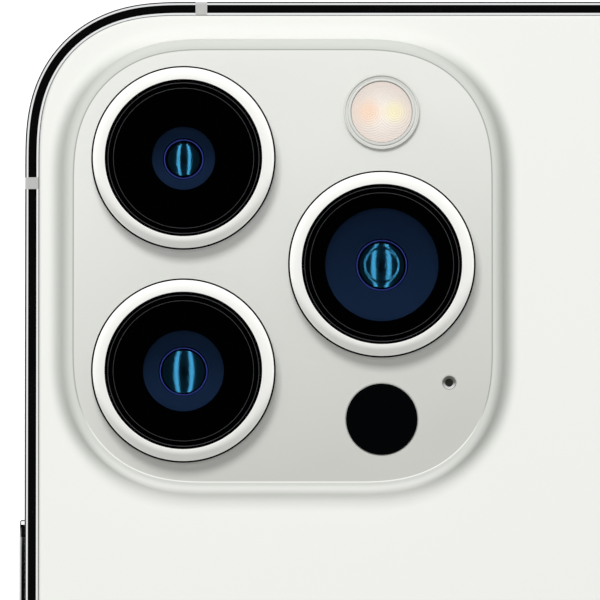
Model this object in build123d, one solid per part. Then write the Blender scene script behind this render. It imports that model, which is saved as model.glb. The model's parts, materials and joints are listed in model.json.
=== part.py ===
"""Smartphone with a three-camera plateau, built as the separate pieces of a real one.

The phone lies on its display. X runs across the width, Y along the length with the top of
the phone at +Y, and Z up through the thickness, from the display's face at Z = 0 to the
back. The origin is the middle of the display's face. Every size is in millimetres.
"""

import os
from dataclasses import dataclass
from math import cos, pi, sin

from build123d import *

# ---- Body ---------------------------------------------------------------------------
body_width = 71.5
body_length = 146.7
body_thickness = 7.65
# How a corner eases out of its sides: where the curve starts, where it is still nearly
# straight, and where it turns, each measured along the side from the square corner.
body_corner = (13.5, 8.6, 4.6)
corner_inset_share = 0.558  # how far the last two of those move in, per mm of inset

band_edge_radius = 0.35  # rounding of the steel band's outer edges
band_wall = 1.85  # band's thickness at its inner ledges
glass_inset = 1.1  # width of band that shows round each glass
glass_gap = 0.05  # clearance round each glass
glass_proud = 0.12  # how far each glass stands above the band
glass_edge_chamfer = 0.1

front_glass_thickness = 0.65
back_glass_thickness = 0.9
gasket_thickness = 0.2
panel_thickness = 0.9
panel_inset = 3.2  # display panel's edge, in from the body's side
frame_clearance = 0.1
display_frame_thickness = 1.1
notch_width = 26.8
notch_depth = 5.4

mid_plate_thickness = 0.85
service_gap = 0.1  # air between the display and what is behind it
part_gap = 0.1  # air between loose neighbours inside

break_width = 0.96  # antenna breaks in the band
break_from_end = 14.95  # a side break's centre, from the end of the phone
break_from_side = 14.45  # an end break's centre, from the side of the phone

# ---- Camera plateau -----------------------------------------------------------------
plateau_width = 34.24
plateau_length = 35.14
plateau_height = 1.6
plateau_from_side = 3.96
plateau_from_top = 4.26
plateau_corner = (11.5, 7.3, 3.9)
plateau_flare = 1.56  # how far the sloped edge spreads beyond the flat top
cutout_margin = 0.3  # mid plate's camera opening, in from the plateau's edge
cutout_corner_radius = 2.0
bracket_thickness = 0.25
lens_top = 2.0  # rings' height above the plateau
ring_edge_radius = 0.14
cover_thickness = 0.5
cover_recess = 0.1  # cover's face below the ring's top
cover_gap = 0.02
mask_thickness = 0.15
neck_gap = 0.05  # ring's neck in the glass
barrel_gap = 0.1
board_thickness = 0.5
shift_travel = 0.1  # sensor stabiliser, each way
shift_gap = 0.05
focus_clearance = 0.15

# ---- Flash, range finder and microphone ---------------------------------------------
side_column = 29.23  # right-hand column of the plateau, from the phone's side
flash_from_top = 9.25
flash_bezel_radius = 3.1
flash_neck_radius = 2.8
flash_lens_radius = 2.5
flash_bezel_height = 0.45
flash_lens_thickness = 0.55
flash_lens_recess = 0.15
flash_board_thickness = 0.85
flash_die_size = 1.5
flash_die_spacing = 2.0
lidar_from_top = 34.42
lidar_window_radius = 2.96
lidar_window_thickness = 0.6
lidar_bore_radius = 2.6
lidar_snout_radius = 1.1
microphone_x_from_side = 34.75
microphone_from_top = 31.4
microphone_radius = 0.57
microphone_bore_radius = 0.33

# ---- Side keys ----------------------------------------------------------------------
key_width = 2.9
key_protrusion = 0.45
key_gap = 0.06
key_travel = 0.25
key_flange_thickness = 0.45
key_flange_lip = 0.5
key_corner_radius = 0.2
power_key_length = 17.3
power_key_from_top = 51.15  # key's centre
volume_key_length = 9.9
volume_up_from_top = 45.4
volume_down_from_top = 57.9
dome_thickness = 0.5
dome_radius = 1.1
switch_foot = 0.8  # length of the feet that carry each switch's strip
switch_air = 0.05  # between a pressed key and its dome

ring_switch_from_top = 32.7
ring_switch_length = 5.2
ring_switch_width = 1.6
ring_switch_travel = 1.0
ring_switch_protrusion = 0.35
ring_slider_thickness = 0.4
ring_slider_lip = 0.6
ring_slot_gap = 0.1

# ---- Card tray ----------------------------------------------------------------------
tray_from_top = 75.4
tray_face_length = 15.2
tray_face_width = 2.4
tray_face_depth = 1.2
tray_plate_width = 10.4
tray_plate_thickness = 0.95
tray_plate_reach = 14.2
tray_offset = -1.7  # plate's centre along Y from the face's centre
tray_gap = 0.05
card_length = 12.4
card_width = 8.9
card_depth = 0.7
card_ledge = 1.1
eject_hole_radius = 0.45
eject_from_face_centre = 5.9
reader_wall = 0.35

# ---- Lower end ----------------------------------------------------------------------
port_width = 8.94
port_height = 3.16
port_wall = 0.3
port_depth = 6.8
port_recess = 0.25
port_tongue = (6.69, 4.45, 0.7)
port_ear_thickness = 1.6
port_ear_width = 3.6
port_gap = 0.05
port_pad_length = 1.6  # stiffener that joins the flat cable to the port
screw_spacing = 13.8
screw_head_radius = 0.95
screw_head_depth = 0.7
screw_shank_radius = 0.6
screw_length = 4.2
screw_recess = 0.15
screw_gap = 0.05
screw_drive_size = 0.7
screw_drive_depth = 0.4
grille_hole_radius = 0.6
grille_pitch = 2.4
speaker_hole_count = 6
microphone_hole_count = 4
grille_from_centre = 10.0  # first hole each side of the port

# ---- What is inside -----------------------------------------------------------------
battery_width = 39.0
battery_length = 76.0
battery_foot_width = 26.0
battery_foot_length = 34.0
battery_corner_radius = 0.6
battery_side_gap = 1.4
battery_from_bottom = 25.2
board_pcb_thickness = 0.8
board_width = 24.2
board_length = 72.5
board_shield_height = 2.2
haptic_length = 22.0
haptic_width = 13.0
haptic_height = 3.7
haptic_wall = 0.35
haptic_travel = 0.6
haptic_from_side = 4.6
haptic_from_bottom = 7.6
haptic_mass_gap = 0.15
speaker_length = 22.6
speaker_width = 18.0
speaker_height = 3.7
earpiece_size = (11.5, 6.4, 3.2)
front_camera_size = (27.0, 6.2, 2.9)
front_camera_snouts = (-9.0, -3.0, 9.5)
coil_centre_y = 1.5
coil_inner_radius = 11.5
coil_outer_radius = 21.5
coil_thickness = 0.5
magnet_inner_radius = 23.0
magnet_outer_radius = 27.8
magnet_thickness = 0.6
magnet_count = 16
magnet_gap_degrees = 1.5
magnet_open_degrees = 40.0  # the ring stays open towards the bottom of the phone
cable_thickness = 0.1
cable_width = 6.0
earpiece_slot_length = 10.0
earpiece_slot_width = 0.7
earpiece_slot_from_edge = 0.9

# ---- Levels through the thickness ---------------------------------------------------
band_front = glass_proud
band_back = body_thickness - glass_proud
mid_level = body_thickness / 2
front_ledge = front_glass_thickness + gasket_thickness
display_back = front_glass_thickness + display_frame_thickness
cavity_front = display_back + service_gap
back_ledge = body_thickness - back_glass_thickness
mid_plate_front = back_ledge - mid_plate_thickness
plateau_top = body_thickness + plateau_height
ring_top = plateau_top + lens_top
bracket_front = back_ledge - bracket_thickness
module_back = bracket_front  # backs of the camera housings
sensor_front = cavity_front + 0.45
pcb_back = mid_plate_front
pcb_front = pcb_back - board_pcb_thickness

half_width = body_width / 2
half_length = body_length / 2
wall_x = half_width - band_wall  # inner faces of the band
wall_y = half_length - band_wall

plateau_centre = (
    plateau_from_side + plateau_width / 2 - half_width,
    half_length - plateau_from_top - plateau_length / 2,
)
column_x = side_column - half_width
flash_at = (column_x, half_length - flash_from_top)
lidar_at = (column_x, half_length - lidar_from_top)
microphone_at = (
    microphone_x_from_side - half_width,
    half_length - microphone_from_top,
)


@dataclass
class Camera:
    """One rear camera: where it sits and the sizes that differ from its neighbours."""

    name: str
    from_side: float
    from_top: float
    ring_radius: float
    neck_radius: float
    bore_radius: float
    seat_radius: float
    mask_radius: float
    lens_radius: float
    barrel_radius: float
    housing: tuple
    board: tuple
    focus_travel: float

    @property
    def at(self):
        return self.from_side - half_width, half_length - self.from_top

    @property
    def seat(self):
        """Level that the cover glass sits on."""
        return ring_top - cover_recess - cover_thickness

    @property
    def barrel_top(self):
        return self.seat - mask_thickness - focus_clearance - self.focus_travel


cameras = [
    Camera("tele", 13.03, 13.13, 7.54, 7.2, 5.85, 6.41, 2.58, 1.64, 5.0,
           (15.6, 15.6), (12.0, 12.0), 0.15),
    Camera("wide", 13.03, 30.53, 7.54, 7.2, 5.85, 6.41, 3.30, 1.97, 5.2,
           (15.6, 16.4), (12.0, 12.6), 0.20),
    Camera("ultrawide", 29.23, 21.83, 7.66, 7.3, 5.95, 6.54, 4.63, 2.09, 5.3,
           (13.0, 12.6), (10.4, 10.4), 0.15),
]


# ---- Small helpers ------------------------------------------------------------------
def smooth_outline(width, length, corner, inset=0.0):
    """Face of a rounded rectangle whose corners are one degree-5 Bezier curve each."""
    reach = corner[0] - inset
    ease, turn = (value - corner_inset_share * inset for value in corner[1:])
    half_w, half_l = width / 2 - inset, length / 2 - inset
    corners = []
    for side_x, side_y in ((1, 1), (-1, 1), (-1, -1), (1, -1)):
        across = [(side_x * half_w, side_y * (half_l - d)) for d in (reach, ease, turn)]
        along = [(side_x * (half_w - d), side_y * half_l) for d in (turn, ease, reach)]
        points = across + along
        corners.append(points if side_x == side_y else points[::-1])
    edges = []
    for points, following in zip(corners, corners[1:] + corners[:1]):
        edges += [Bezier(*points), Line(points[-1], following[0])]
    return Face(Wire(edges))


def plate(face, low, high):
    """The face drawn out from one level to another."""
    return Pos(0, 0, low) * extrude(face, amount=high - low)


def body_outline(inset):
    return smooth_outline(body_width, body_length, body_corner, inset)


def box_between(x_range, y_range, z_range):
    """A box given by where it starts and ends along each axis."""
    spans = (x_range, y_range, z_range)
    size = [high - low for low, high in spans]
    middle = [(low + high) / 2 for low, high in spans]
    return Pos(*middle) * Box(*size)


def post(at, radius, low, high):
    """An upright cylinder."""
    return Pos(at[0], at[1], (low + high) / 2) * Cylinder(radius, high - low)


def tube(at, outer, inner, low, high):
    return post(at, outer, low, high) - post(at, inner, low - 1, high + 1)


def turned(at, points):
    """A solid of revolution about an upright axis, from (radius, level) points."""
    profile = Plane.XZ * make_face(Polyline(*points, close=True))
    return Pos(*at, 0) * revolve(profile, Axis.Z)


def side_pill(length, width, x_low, x_high, at_y, at_z=mid_level, side=1):
    """A bar with round ends, lying across the band on the given side of the phone."""
    bar = extrude(Plane.YZ * SlotOverall(length, width), amount=x_high - x_low)
    bar = Pos(x_low, at_y, at_z) * bar
    return bar if side > 0 else mirror(bar, about=Plane.YZ)


def along_y(at_x, at_z, radius, y_low, y_high):
    """A cylinder that lies along Y."""
    middle = (y_low + y_high) / 2
    return Pos(at_x, middle, at_z) * (Rot(90, 0, 0) * Cylinder(radius, y_high - y_low))


def from_top(distance):
    return half_length - distance


# ---- Steel band and its breaks ------------------------------------------------------
def band_ring():
    """The whole band: rounded outer edges, a pocket for each glass, the cavity inside."""
    ring = plate(body_outline(0), band_front, band_back)
    rims = ring.edges().group_by(Axis.Z)
    ring = fillet(rims[0] + rims[-1], band_edge_radius)
    ring -= plate(body_outline(glass_inset), 0, front_ledge)
    ring -= plate(body_outline(glass_inset), back_ledge, body_thickness)
    return ring - plate(body_outline(band_wall), 0, body_thickness)


def break_boxes():
    """Where the six plastic breaks cross the band."""
    reach = band_wall * 2
    side_size = (reach, break_width, body_thickness * 2)
    end_size = (break_width, reach, body_thickness * 2)
    side_y = half_length - break_from_end
    end_x = half_width - break_from_side
    boxes = [
        Pos(sign_x * half_width, sign_y * side_y, mid_level) * Box(*side_size)
        for sign_x in (-1, 1)
        for sign_y in (-1, 1)
    ]
    boxes.append(Pos(-end_x, half_length, mid_level) * Box(*end_size))
    boxes.append(Pos(end_x, -half_length, mid_level) * Box(*end_size))
    return boxes


def band_openings():
    """Everything that is cut through the band for keys, tray, port, screws and sound."""
    through = (wall_x - 1, half_width + 1)
    cuts = [
        side_pill(power_key_length + 2 * key_gap, key_width + 2 * key_gap, *through,
                  from_top(power_key_from_top), side=-1)
    ]
    for key_from_top in (volume_up_from_top, volume_down_from_top):
        cuts.append(side_pill(volume_key_length + 2 * key_gap, key_width + 2 * key_gap,
                              *through, from_top(key_from_top)))
    slot_width = ring_switch_width + ring_switch_travel + 2 * ring_slot_gap
    slot_length = ring_switch_length + ring_switch_travel + 2 * ring_slot_gap
    cuts.append(side_pill(slot_length, slot_width, *through,
                          from_top(ring_switch_from_top)))
    tray_y = from_top(tray_from_top)
    cuts.append(side_pill(tray_face_length + 2 * tray_gap, tray_face_width + 2 * tray_gap,
                          half_width - tray_face_depth, half_width + 1, tray_y))
    plate_half = tray_plate_width / 2 + tray_gap
    thick_half = tray_plate_thickness / 2 + tray_gap
    cuts.append(box_between(
        through,
        (tray_y + tray_offset - plate_half, tray_y + tray_offset + plate_half),
        (mid_level - thick_half, mid_level + thick_half),
    ))
    eject_y = tray_y + eject_from_face_centre
    cuts.append(Pos(wall_x, eject_y, mid_level)
                * (Rot(0, 90, 0) * Cylinder(eject_hole_radius, 2 * band_wall)))
    mouth = Plane.XZ * SlotOverall(port_width + 2 * port_gap, port_height + 2 * port_gap)
    cuts.append(Pos(0, -wall_y + 1, mid_level) * extrude(mouth, amount=band_wall + 2))
    for sign in (-1, 1):
        at_x = sign * screw_spacing / 2
        cuts.append(along_y(at_x, mid_level, screw_shank_radius + screw_gap,
                            -half_length - 1, -wall_y + 1))
        cuts.append(along_y(at_x, mid_level, screw_head_radius + screw_gap,
                            -half_length - 1,
                            -half_length + screw_recess + screw_head_depth))
    for at_x in grille_positions():
        cuts.append(along_y(at_x, mid_level, grille_hole_radius,
                            -half_length - 1, -wall_y + 1))
    return cuts


def grille_positions():
    """Sound holes: the speaker's on one side of the port, the microphone's on the other."""
    speaker = [-grille_from_centre - n * grille_pitch for n in range(speaker_hole_count)]
    voice = [grille_from_centre + n * grille_pitch for n in range(microphone_hole_count)]
    return speaker + voice


def band_parts():
    """The six lengths of steel band, and the plastic between them as one group."""
    ring = band_ring()
    breaks = break_boxes()
    plastic = [ring & box for box in breaks]
    for cut in breaks + band_openings():
        ring -= cut
    anchors = {
        "band_left": (-half_width, 0),
        "band_right": (half_width, 0),
        "band_top": (half_width / 2, half_length),
        "band_top_left": (-half_width, half_length),
        "band_bottom": (-half_width / 2, -half_length),
        "band_bottom_right": (half_width, -half_length),
    }
    lengths = {}
    for name, (x, y) in anchors.items():
        lengths[name] = min(
            ring.solids(),
            key=lambda s: (s.bounding_box().center() - Vector(x, y, mid_level)).length,
        )
    lengths["antenna_breaks"] = Compound([p.solid() for p in plastic])
    return lengths


# ---- Chassis and glass --------------------------------------------------------------
def camera_opening(clearance=0.0):
    width, length = (size - 2 * (cutout_margin + clearance)
                     for size in (plateau_width, plateau_length))
    opening = fillet(Rectangle(width, length).vertices(), cutout_corner_radius)
    return Pos(*plateau_centre, 0) * opening


def mid_plate():
    """Aluminium chassis plate, open for the cameras and for the charging coil."""
    sheet = plate(body_outline(band_wall), mid_plate_front, back_ledge)
    sheet -= plate(camera_opening(), mid_plate_front - 1, back_ledge + 1)
    coil_room = magnet_outer_radius + part_gap
    return sheet - post((0, coil_centre_y), coil_room, mid_plate_front - 1, back_ledge + 1)


def plateau():
    """Raised block for the cameras, rounded at the top and flowing into the back."""
    rounding = plateau_height / 2
    width, length = plateau_width + plateau_flare, plateau_length + plateau_flare
    corner = [value + plateau_flare / 2 * share
              for value, share in zip(plateau_corner, (1, corner_inset_share,
                                                       corner_inset_share))]
    outline = Pos(*plateau_centre, 0) * smooth_outline(width, length, corner)
    block = plate(outline, back_ledge, plateau_top)
    return fillet(block.edges().group_by(Axis.Z)[-1], rounding)


def back_glass():
    """One sheet of glass with the plateau in it, holed for what stands in the plateau."""
    sheet = plate(body_outline(glass_inset + glass_gap), back_ledge, body_thickness)
    sheet = chamfer(sheet.edges().group_by(Axis.Z)[-1], glass_edge_chamfer)
    block = plateau()
    joined = sheet + block
    foot = new_edges(sheet, block, combined=joined)
    sheet = fillet(foot.group_by(Axis.Z)[-1], plateau_height / 2 - 0.05)
    for camera in cameras:
        sheet -= post(camera.at, camera.neck_radius + neck_gap, 0, ring_top)
    sheet -= post(flash_at, flash_neck_radius + neck_gap, 0, ring_top)
    sheet -= post(lidar_at, lidar_bore_radius, 0, ring_top)
    sheet -= post(lidar_at, lidar_window_radius + cover_gap,
                  plateau_top - lidar_window_thickness, ring_top)
    return sheet - post(microphone_at, microphone_radius + cover_gap, 0, ring_top)


def front_glass():
    """Display cover, with the earpiece's slot at its top edge."""
    sheet = plate(body_outline(glass_inset + glass_gap), 0, front_glass_thickness)
    sheet = chamfer(sheet.edges().group_by(Axis.Z)[0], glass_edge_chamfer)
    slot_y = half_length - glass_inset - earpiece_slot_from_edge
    slot = Pos(0, slot_y, -1) * SlotOverall(earpiece_slot_length, earpiece_slot_width)
    return sheet - extrude(slot, amount=front_glass_thickness + 2)


def notch(clearance=0.0):
    """Room at the top of the display for the front camera's windows."""
    panel_top = half_length - panel_inset
    return box_between(
        (-notch_width / 2 - clearance, notch_width / 2 + clearance),
        (panel_top - notch_depth - clearance, panel_top + 1),
        (-1, display_back + 1),
    )


def display_panel():
    panel_back = front_glass_thickness + panel_thickness
    panel = plate(body_outline(panel_inset), front_glass_thickness, panel_back)
    return panel - notch()


def display_frame():
    """Plastic rim that carries the display and seats in the band's front opening."""
    rim = plate(body_outline(band_wall + frame_clearance),
                front_glass_thickness, display_back)
    rim -= plate(body_outline(panel_inset - frame_clearance),
                 front_glass_thickness - 1, display_back + 1)
    return rim


def display_gasket():
    """Seal between the display's glass and the band's ledge."""
    ring = plate(body_outline(glass_inset + 2 * glass_gap),
                 front_glass_thickness, front_ledge)
    return ring - plate(body_outline(band_wall), 0, body_thickness)


# ---- Rear cameras -------------------------------------------------------------------
def lens_ring(camera):
    """Polished steel ring: a neck through the glass, a shoulder on it, a seat on top."""
    ring = turned(camera.at, [
        (camera.bore_radius, back_ledge),
        (camera.neck_radius, back_ledge),
        (camera.neck_radius, plateau_top),
        (camera.ring_radius, plateau_top),
        (camera.ring_radius, ring_top),
        (camera.seat_radius, ring_top),
        (camera.seat_radius, camera.seat),
        (camera.bore_radius, camera.seat),
    ])
    rims = ring.edges().filter_by(GeomType.CIRCLE).group_by(Axis.Z)[-1]
    outer = max(rims, key=lambda edge: edge.radius)
    return fillet(outer, ring_edge_radius)


def lens_cover(camera):
    cover = post(camera.at, camera.seat_radius - cover_gap,
                 camera.seat, camera.seat + cover_thickness)
    return chamfer(cover.edges().group_by(Axis.Z)[-1], glass_edge_chamfer)


def lens_mask(camera):
    """Black diaphragm under the cover, which hides all but the lens."""
    return tube(camera.at, camera.bore_radius - cover_gap, camera.mask_radius,
                camera.seat - mask_thickness, camera.seat)


def lens_barrel(camera):
    """Focusing barrel with a funnel towards the front lens."""
    top, bottom = camera.barrel_top, sensor_front + board_thickness + 0.5
    funnel_depth, funnel_foot = 0.5, camera.lens_radius + 0.25
    lens_floor = top - funnel_depth - 0.9
    aperture = camera.lens_radius - 0.3
    return turned(camera.at, [
        (camera.barrel_radius, bottom),
        (camera.barrel_radius, top),
        (min(camera.mask_radius + 0.2, camera.barrel_radius - 0.2), top),
        (funnel_foot, top - funnel_depth),
        (camera.lens_radius + cover_gap, top - funnel_depth),
        (camera.lens_radius + cover_gap, lens_floor),
        (aperture, lens_floor),
        (aperture, bottom),
    ])


def front_lens(camera):
    """Domed front element, resting on the barrel's inner ledge."""
    edge_low = camera.barrel_top - 0.5 - 0.9
    edge_high = edge_low + 0.45
    dome_rise = 0.55
    edge = post(camera.at, camera.lens_radius, edge_low, edge_high)
    ball_radius = (camera.lens_radius ** 2 + dome_rise ** 2) / (2 * dome_rise)
    ball = Pos(*camera.at, edge_high + dome_rise - ball_radius) * Sphere(ball_radius)
    return edge + (ball & post(camera.at, camera.lens_radius, edge_high, ring_top))


def camera_housing(camera):
    """Metal can of the focus motor, with a skirt round the sensor."""
    width, length = camera.housing
    x, y = camera.at
    floor = sensor_front + board_thickness
    can = box_between((x - width / 2, x + width / 2), (y - length / 2, y + length / 2),
                      (sensor_front, module_back))
    skirt_wall = 0.4
    can -= box_between(
        (x - width / 2 + skirt_wall, x + width / 2 - skirt_wall),
        (y - length / 2 + skirt_wall, y + length / 2 - skirt_wall),
        (sensor_front - 1, floor),
    )
    return can - post(camera.at, camera.barrel_radius + barrel_gap, floor - 1, ring_top)


def image_sensor(camera, air=0.0):
    """Sensor's board with the chip on it, facing the lens."""
    x, y = camera.at
    width, length = camera.board
    board_back = sensor_front + board_thickness - air
    board = box_between((x - width / 2, x + width / 2), (y - length / 2, y + length / 2),
                        (sensor_front, board_back))
    chip_width, chip_length, chip_thickness = 0.55 * width, 0.42 * length, 0.2
    chip = box_between((x - chip_width / 2, x + chip_width / 2),
                       (y - chip_length / 2, y + chip_length / 2),
                       (board_back, board_back + chip_thickness))
    return board + chip


def shift_carriage(camera):
    """Frame of the stabiliser: it slides across, and the sensor slides in it."""
    x, y = camera.at
    width, length = camera.board
    rim = 1.0
    inner = (width / 2 + shift_gap, length / 2 + shift_travel + shift_gap)
    outer = (inner[0] + rim, inner[1] + rim)
    levels = (sensor_front, sensor_front + board_thickness - shift_gap)
    frame = box_between((x - outer[0], x + outer[0]), (y - outer[1], y + outer[1]), levels)
    return frame - box_between((x - inner[0], x + inner[0]), (y - inner[1], y + inner[1]),
                               (levels[0] - 1, levels[1] + 1))


def camera_bracket():
    """Stamped plate that ties the three cameras together under the glass."""
    sheet = plate(camera_opening(part_gap), bracket_front, back_ledge)
    for camera in cameras:
        sheet -= post(camera.at, camera.bore_radius, 0, ring_top)
    sheet -= post(lidar_at, lidar_bore_radius, 0, ring_top)
    return sheet - post(microphone_at, microphone_radius + cover_gap, 0, ring_top)


# ---- Flash, range finder and microphone ---------------------------------------------
def flash_bezel():
    """Clear ring that stands in the plateau round the flash."""
    top = plateau_top + flash_bezel_height
    ring = turned(flash_at, [
        (flash_lens_radius, back_ledge),
        (flash_neck_radius, back_ledge),
        (flash_neck_radius, plateau_top),
        (flash_bezel_radius, plateau_top),
        (flash_bezel_radius, top),
        (flash_lens_radius, top),
    ])
    rims = ring.edges().filter_by(GeomType.CIRCLE).group_by(Axis.Z)[-1]
    return fillet(max(rims, key=lambda edge: edge.radius), ring_edge_radius)


def flash_lens():
    top = plateau_top + flash_bezel_height - flash_lens_recess
    return post(flash_at, flash_lens_radius, top - flash_lens_thickness, top)


def flash_board():
    """Round board with one warm and one cool light chip."""
    board_top = back_ledge + flash_board_thickness
    board = post(flash_at, flash_lens_radius - cover_gap, back_ledge, board_top)
    for sign in (-1, 1):
        die_x = flash_at[0] + sign * flash_die_spacing / 2
        board += Pos(die_x, flash_at[1], board_top + 0.25) * Box(
            flash_die_size, flash_die_size, 0.5)
    return board


def lidar_window():
    return post(lidar_at, lidar_window_radius,
                plateau_top - lidar_window_thickness, plateau_top)


def lidar_module():
    """Range finder: a small can with a sending and a receiving snout."""
    x, y = lidar_at
    can = box_between((x - 3.4, x + 3.4), (y - 3.2, y + 3.2), (3.4, bracket_front))
    snout_top = plateau_top - lidar_window_thickness - part_gap
    for sign in (-1, 1):
        can += post((x + sign * (lidar_snout_radius + 0.2), y), lidar_snout_radius,
                    bracket_front - 0.5, snout_top)
    return can


def rear_microphone():
    """Microphone can with its sound tube up to the plateau's face."""
    x, y = microphone_at
    can = box_between((x - 1.45, x + 1.7), (y - 1.8, y + 1.8),
                      (bracket_front - 1.0, bracket_front))
    can += post(microphone_at, microphone_radius, bracket_front - 0.5, plateau_top)
    return can - post(microphone_at, microphone_bore_radius,
                      bracket_front - 0.3, plateau_top + 1)


# ---- Keys and ring switch -----------------------------------------------------------
def side_key(length, centre_from_top, side):
    """A polished key through the band, held in by a flange behind the wall."""
    at_y = from_top(centre_from_top)
    outer = half_width + key_protrusion
    cap = side_pill(length, key_width, wall_x - 0.2, outer, at_y)
    cap = fillet(cap.edges().group_by(Axis.X)[-1], key_corner_radius)
    flange = side_pill(length + 2 * key_flange_lip, key_width,
                       wall_x - key_flange_thickness, wall_x - cover_gap, at_y)
    key = cap + flange
    return key if side > 0 else mirror(key, about=Plane.YZ)


def switch_bridge(half_span, outer, depth, half_height):
    """A stiff strip behind a key, with a foot at each end that stands on the band."""
    foot = switch_foot
    strip = box_between((outer - depth, outer), (-half_span - foot, half_span + foot),
                        (mid_level - half_height, mid_level + half_height))
    for sign in (-1, 1):
        ends = sorted((sign * half_span, sign * (half_span + foot)))
        strip += box_between((outer - depth, wall_x), ends,
                             (mid_level - half_height, mid_level + half_height))
    return strip


def key_switch(length, centre_from_top, side, dome_places):
    """Tactile domes behind a key, on their strip."""
    outer = wall_x - key_flange_thickness - key_travel - switch_air - dome_thickness / 2
    half_span = length / 2 + key_flange_lip + part_gap
    switch = switch_bridge(half_span, outer, dome_thickness / 2, 1.3)
    for place in dome_places:
        switch += Pos(outer + dome_thickness / 4, place, mid_level) * (
            Rot(0, 90, 0) * Cylinder(dome_radius, dome_thickness / 2))
    switch = Pos(0, from_top(centre_from_top), 0) * switch
    return switch if side > 0 else mirror(switch, about=Plane.YZ)


def ring_switch_lever():
    """Lever of the ring switch, at the display end of its travel."""
    at_y = from_top(ring_switch_from_top)
    at_z = mid_level - ring_switch_travel / 2
    lever = side_pill(ring_switch_length, ring_switch_width, wall_x - 0.2,
                      half_width + ring_switch_protrusion, at_y, at_z)
    lever = fillet(lever.edges().group_by(Axis.X)[-1], key_corner_radius)
    slider_length = ring_slider_length()
    slider = box_between(
        (wall_x - cover_gap - ring_slider_thickness, wall_x - cover_gap),
        (at_y - slider_length / 2, at_y + slider_length / 2),
        (at_z - 0.9, at_z + 0.9),
    )
    return lever + slider


def ring_slider_length():
    return ring_switch_length + ring_switch_travel + 2 * ring_slider_lip


def ring_switch_body():
    """Fixed switch behind the ring switch's slider, on its strip."""
    outer = wall_x - cover_gap - ring_slider_thickness - part_gap
    body = switch_bridge(ring_slider_length() / 2 + part_gap, outer, 1.0, 1.4)
    return Pos(0, from_top(ring_switch_from_top), 0) * body


def key_switches():
    """The four switches that the keys and the lever work, as one group."""
    spread = power_key_length / 3
    switches = [
        key_switch(power_key_length, power_key_from_top, -1, (-spread, spread)),
        key_switch(volume_key_length, volume_up_from_top, 1, (0,)),
        key_switch(volume_key_length, volume_down_from_top, 1, (0,)),
        ring_switch_body(),
    ]
    return Compound([s.solid() for s in switches])


# ---- Card tray ----------------------------------------------------------------------
def tray_plate_span():
    centre = from_top(tray_from_top) + tray_offset
    return centre - tray_plate_width / 2, centre + tray_plate_width / 2


def sim_tray():
    """Tray for one small card: a face in the band and a plate with the card's pocket."""
    tray_y = from_top(tray_from_top)
    face_back = half_width - tray_face_depth
    face = side_pill(tray_face_length, tray_face_width, face_back, half_width, tray_y)
    low_y, high_y = tray_plate_span()
    low_z = mid_level - tray_plate_thickness / 2
    high_z = mid_level + tray_plate_thickness / 2
    tray = face + box_between((face_back - tray_plate_reach, face_back),
                              (low_y, high_y), (low_z, high_z))
    pocket_end = face_back - tray_plate_reach + 0.8
    middle_y = (low_y + high_y) / 2
    half_card = card_width / 2
    tray -= box_between((pocket_end, pocket_end + card_length),
                        (middle_y - half_card, middle_y + half_card),
                        (low_z - 1, low_z + card_depth))
    tray -= box_between((pocket_end + card_ledge, pocket_end + card_length - card_ledge),
                        (middle_y - half_card + card_ledge,
                         middle_y + half_card - card_ledge),
                        (low_z - 1, high_z + 1))
    eject = Pos(half_width, tray_y + eject_from_face_centre, mid_level) * (
        Rot(0, 90, 0) * Cylinder(eject_hole_radius, 3 * tray_face_depth))
    return tray - eject


def sim_reader():
    """Thin metal cage that the tray slides into."""
    low_y, high_y = tray_plate_span()
    inner_end = half_width - tray_face_depth - tray_plate_reach - part_gap
    low_z = mid_level - tray_plate_thickness / 2 - tray_gap
    high_z = mid_level + tray_plate_thickness / 2 + tray_gap
    cage = box_between(
        (inner_end - reader_wall, wall_x),
        (low_y - tray_gap - reader_wall, high_y + tray_gap + reader_wall),
        (low_z - reader_wall, high_z + reader_wall),
    )
    return cage - box_between((inner_end, wall_x + 1),
                              (low_y - tray_gap, high_y + tray_gap), (low_z, high_z))


# ---- Port and screws ----------------------------------------------------------------
def pill_along_y(width, height, y_low, y_high):
    face = Plane.XZ * SlotOverall(width, height)
    return Pos(0, y_high, mid_level) * extrude(face, amount=y_high - y_low)


def charging_port():
    """Pill-shaped socket with its tongue, and an ear each side for the case screws."""
    mouth = -half_length + port_recess
    back = mouth + port_depth
    shell = pill_along_y(port_width, port_height, mouth, back)
    shell -= pill_along_y(port_width - 2 * port_wall, port_height - 2 * port_wall,
                          mouth - 1, back - port_wall)
    width, reach, thickness = port_tongue
    shell += box_between((-width / 2, width / 2), (back - port_wall - reach, back),
                         (mid_level - thickness / 2, mid_level + thickness / 2))
    for sign in (-1, 1):
        at_x = sign * screw_spacing / 2
        near = sign * (port_width / 2 - 0.5)
        far = at_x + sign * port_ear_width / 2
        ear = box_between(sorted((near, far)),
                          (-wall_y, -wall_y + port_ear_thickness),
                          (mid_level - port_height / 2, mid_level + port_height / 2))
        ear -= pill_along_y(port_width - 0.2, port_height - 0.2, mouth, back)
        ear -= along_y(at_x, mid_level, screw_shank_radius, -half_length, 0)
        shell += ear
    return shell


def case_screws():
    """The two screws at the port, with a hexagonal recess each."""
    screws = []
    head_face = -half_length + screw_recess
    for sign in (-1, 1):
        at_x = sign * screw_spacing / 2
        screw = along_y(at_x, mid_level, screw_head_radius,
                        head_face, head_face + screw_head_depth)
        screw += along_y(at_x, mid_level, screw_shank_radius,
                         head_face, head_face + screw_length)
        drive = Plane.XZ * RegularPolygon(screw_drive_size, 6)
        screw -= Pos(at_x, head_face + screw_drive_depth, mid_level) * extrude(
            drive, amount=screw_drive_depth + 1)
        screws.append(screw)
    return Compound([s.solid() for s in screws])


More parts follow.
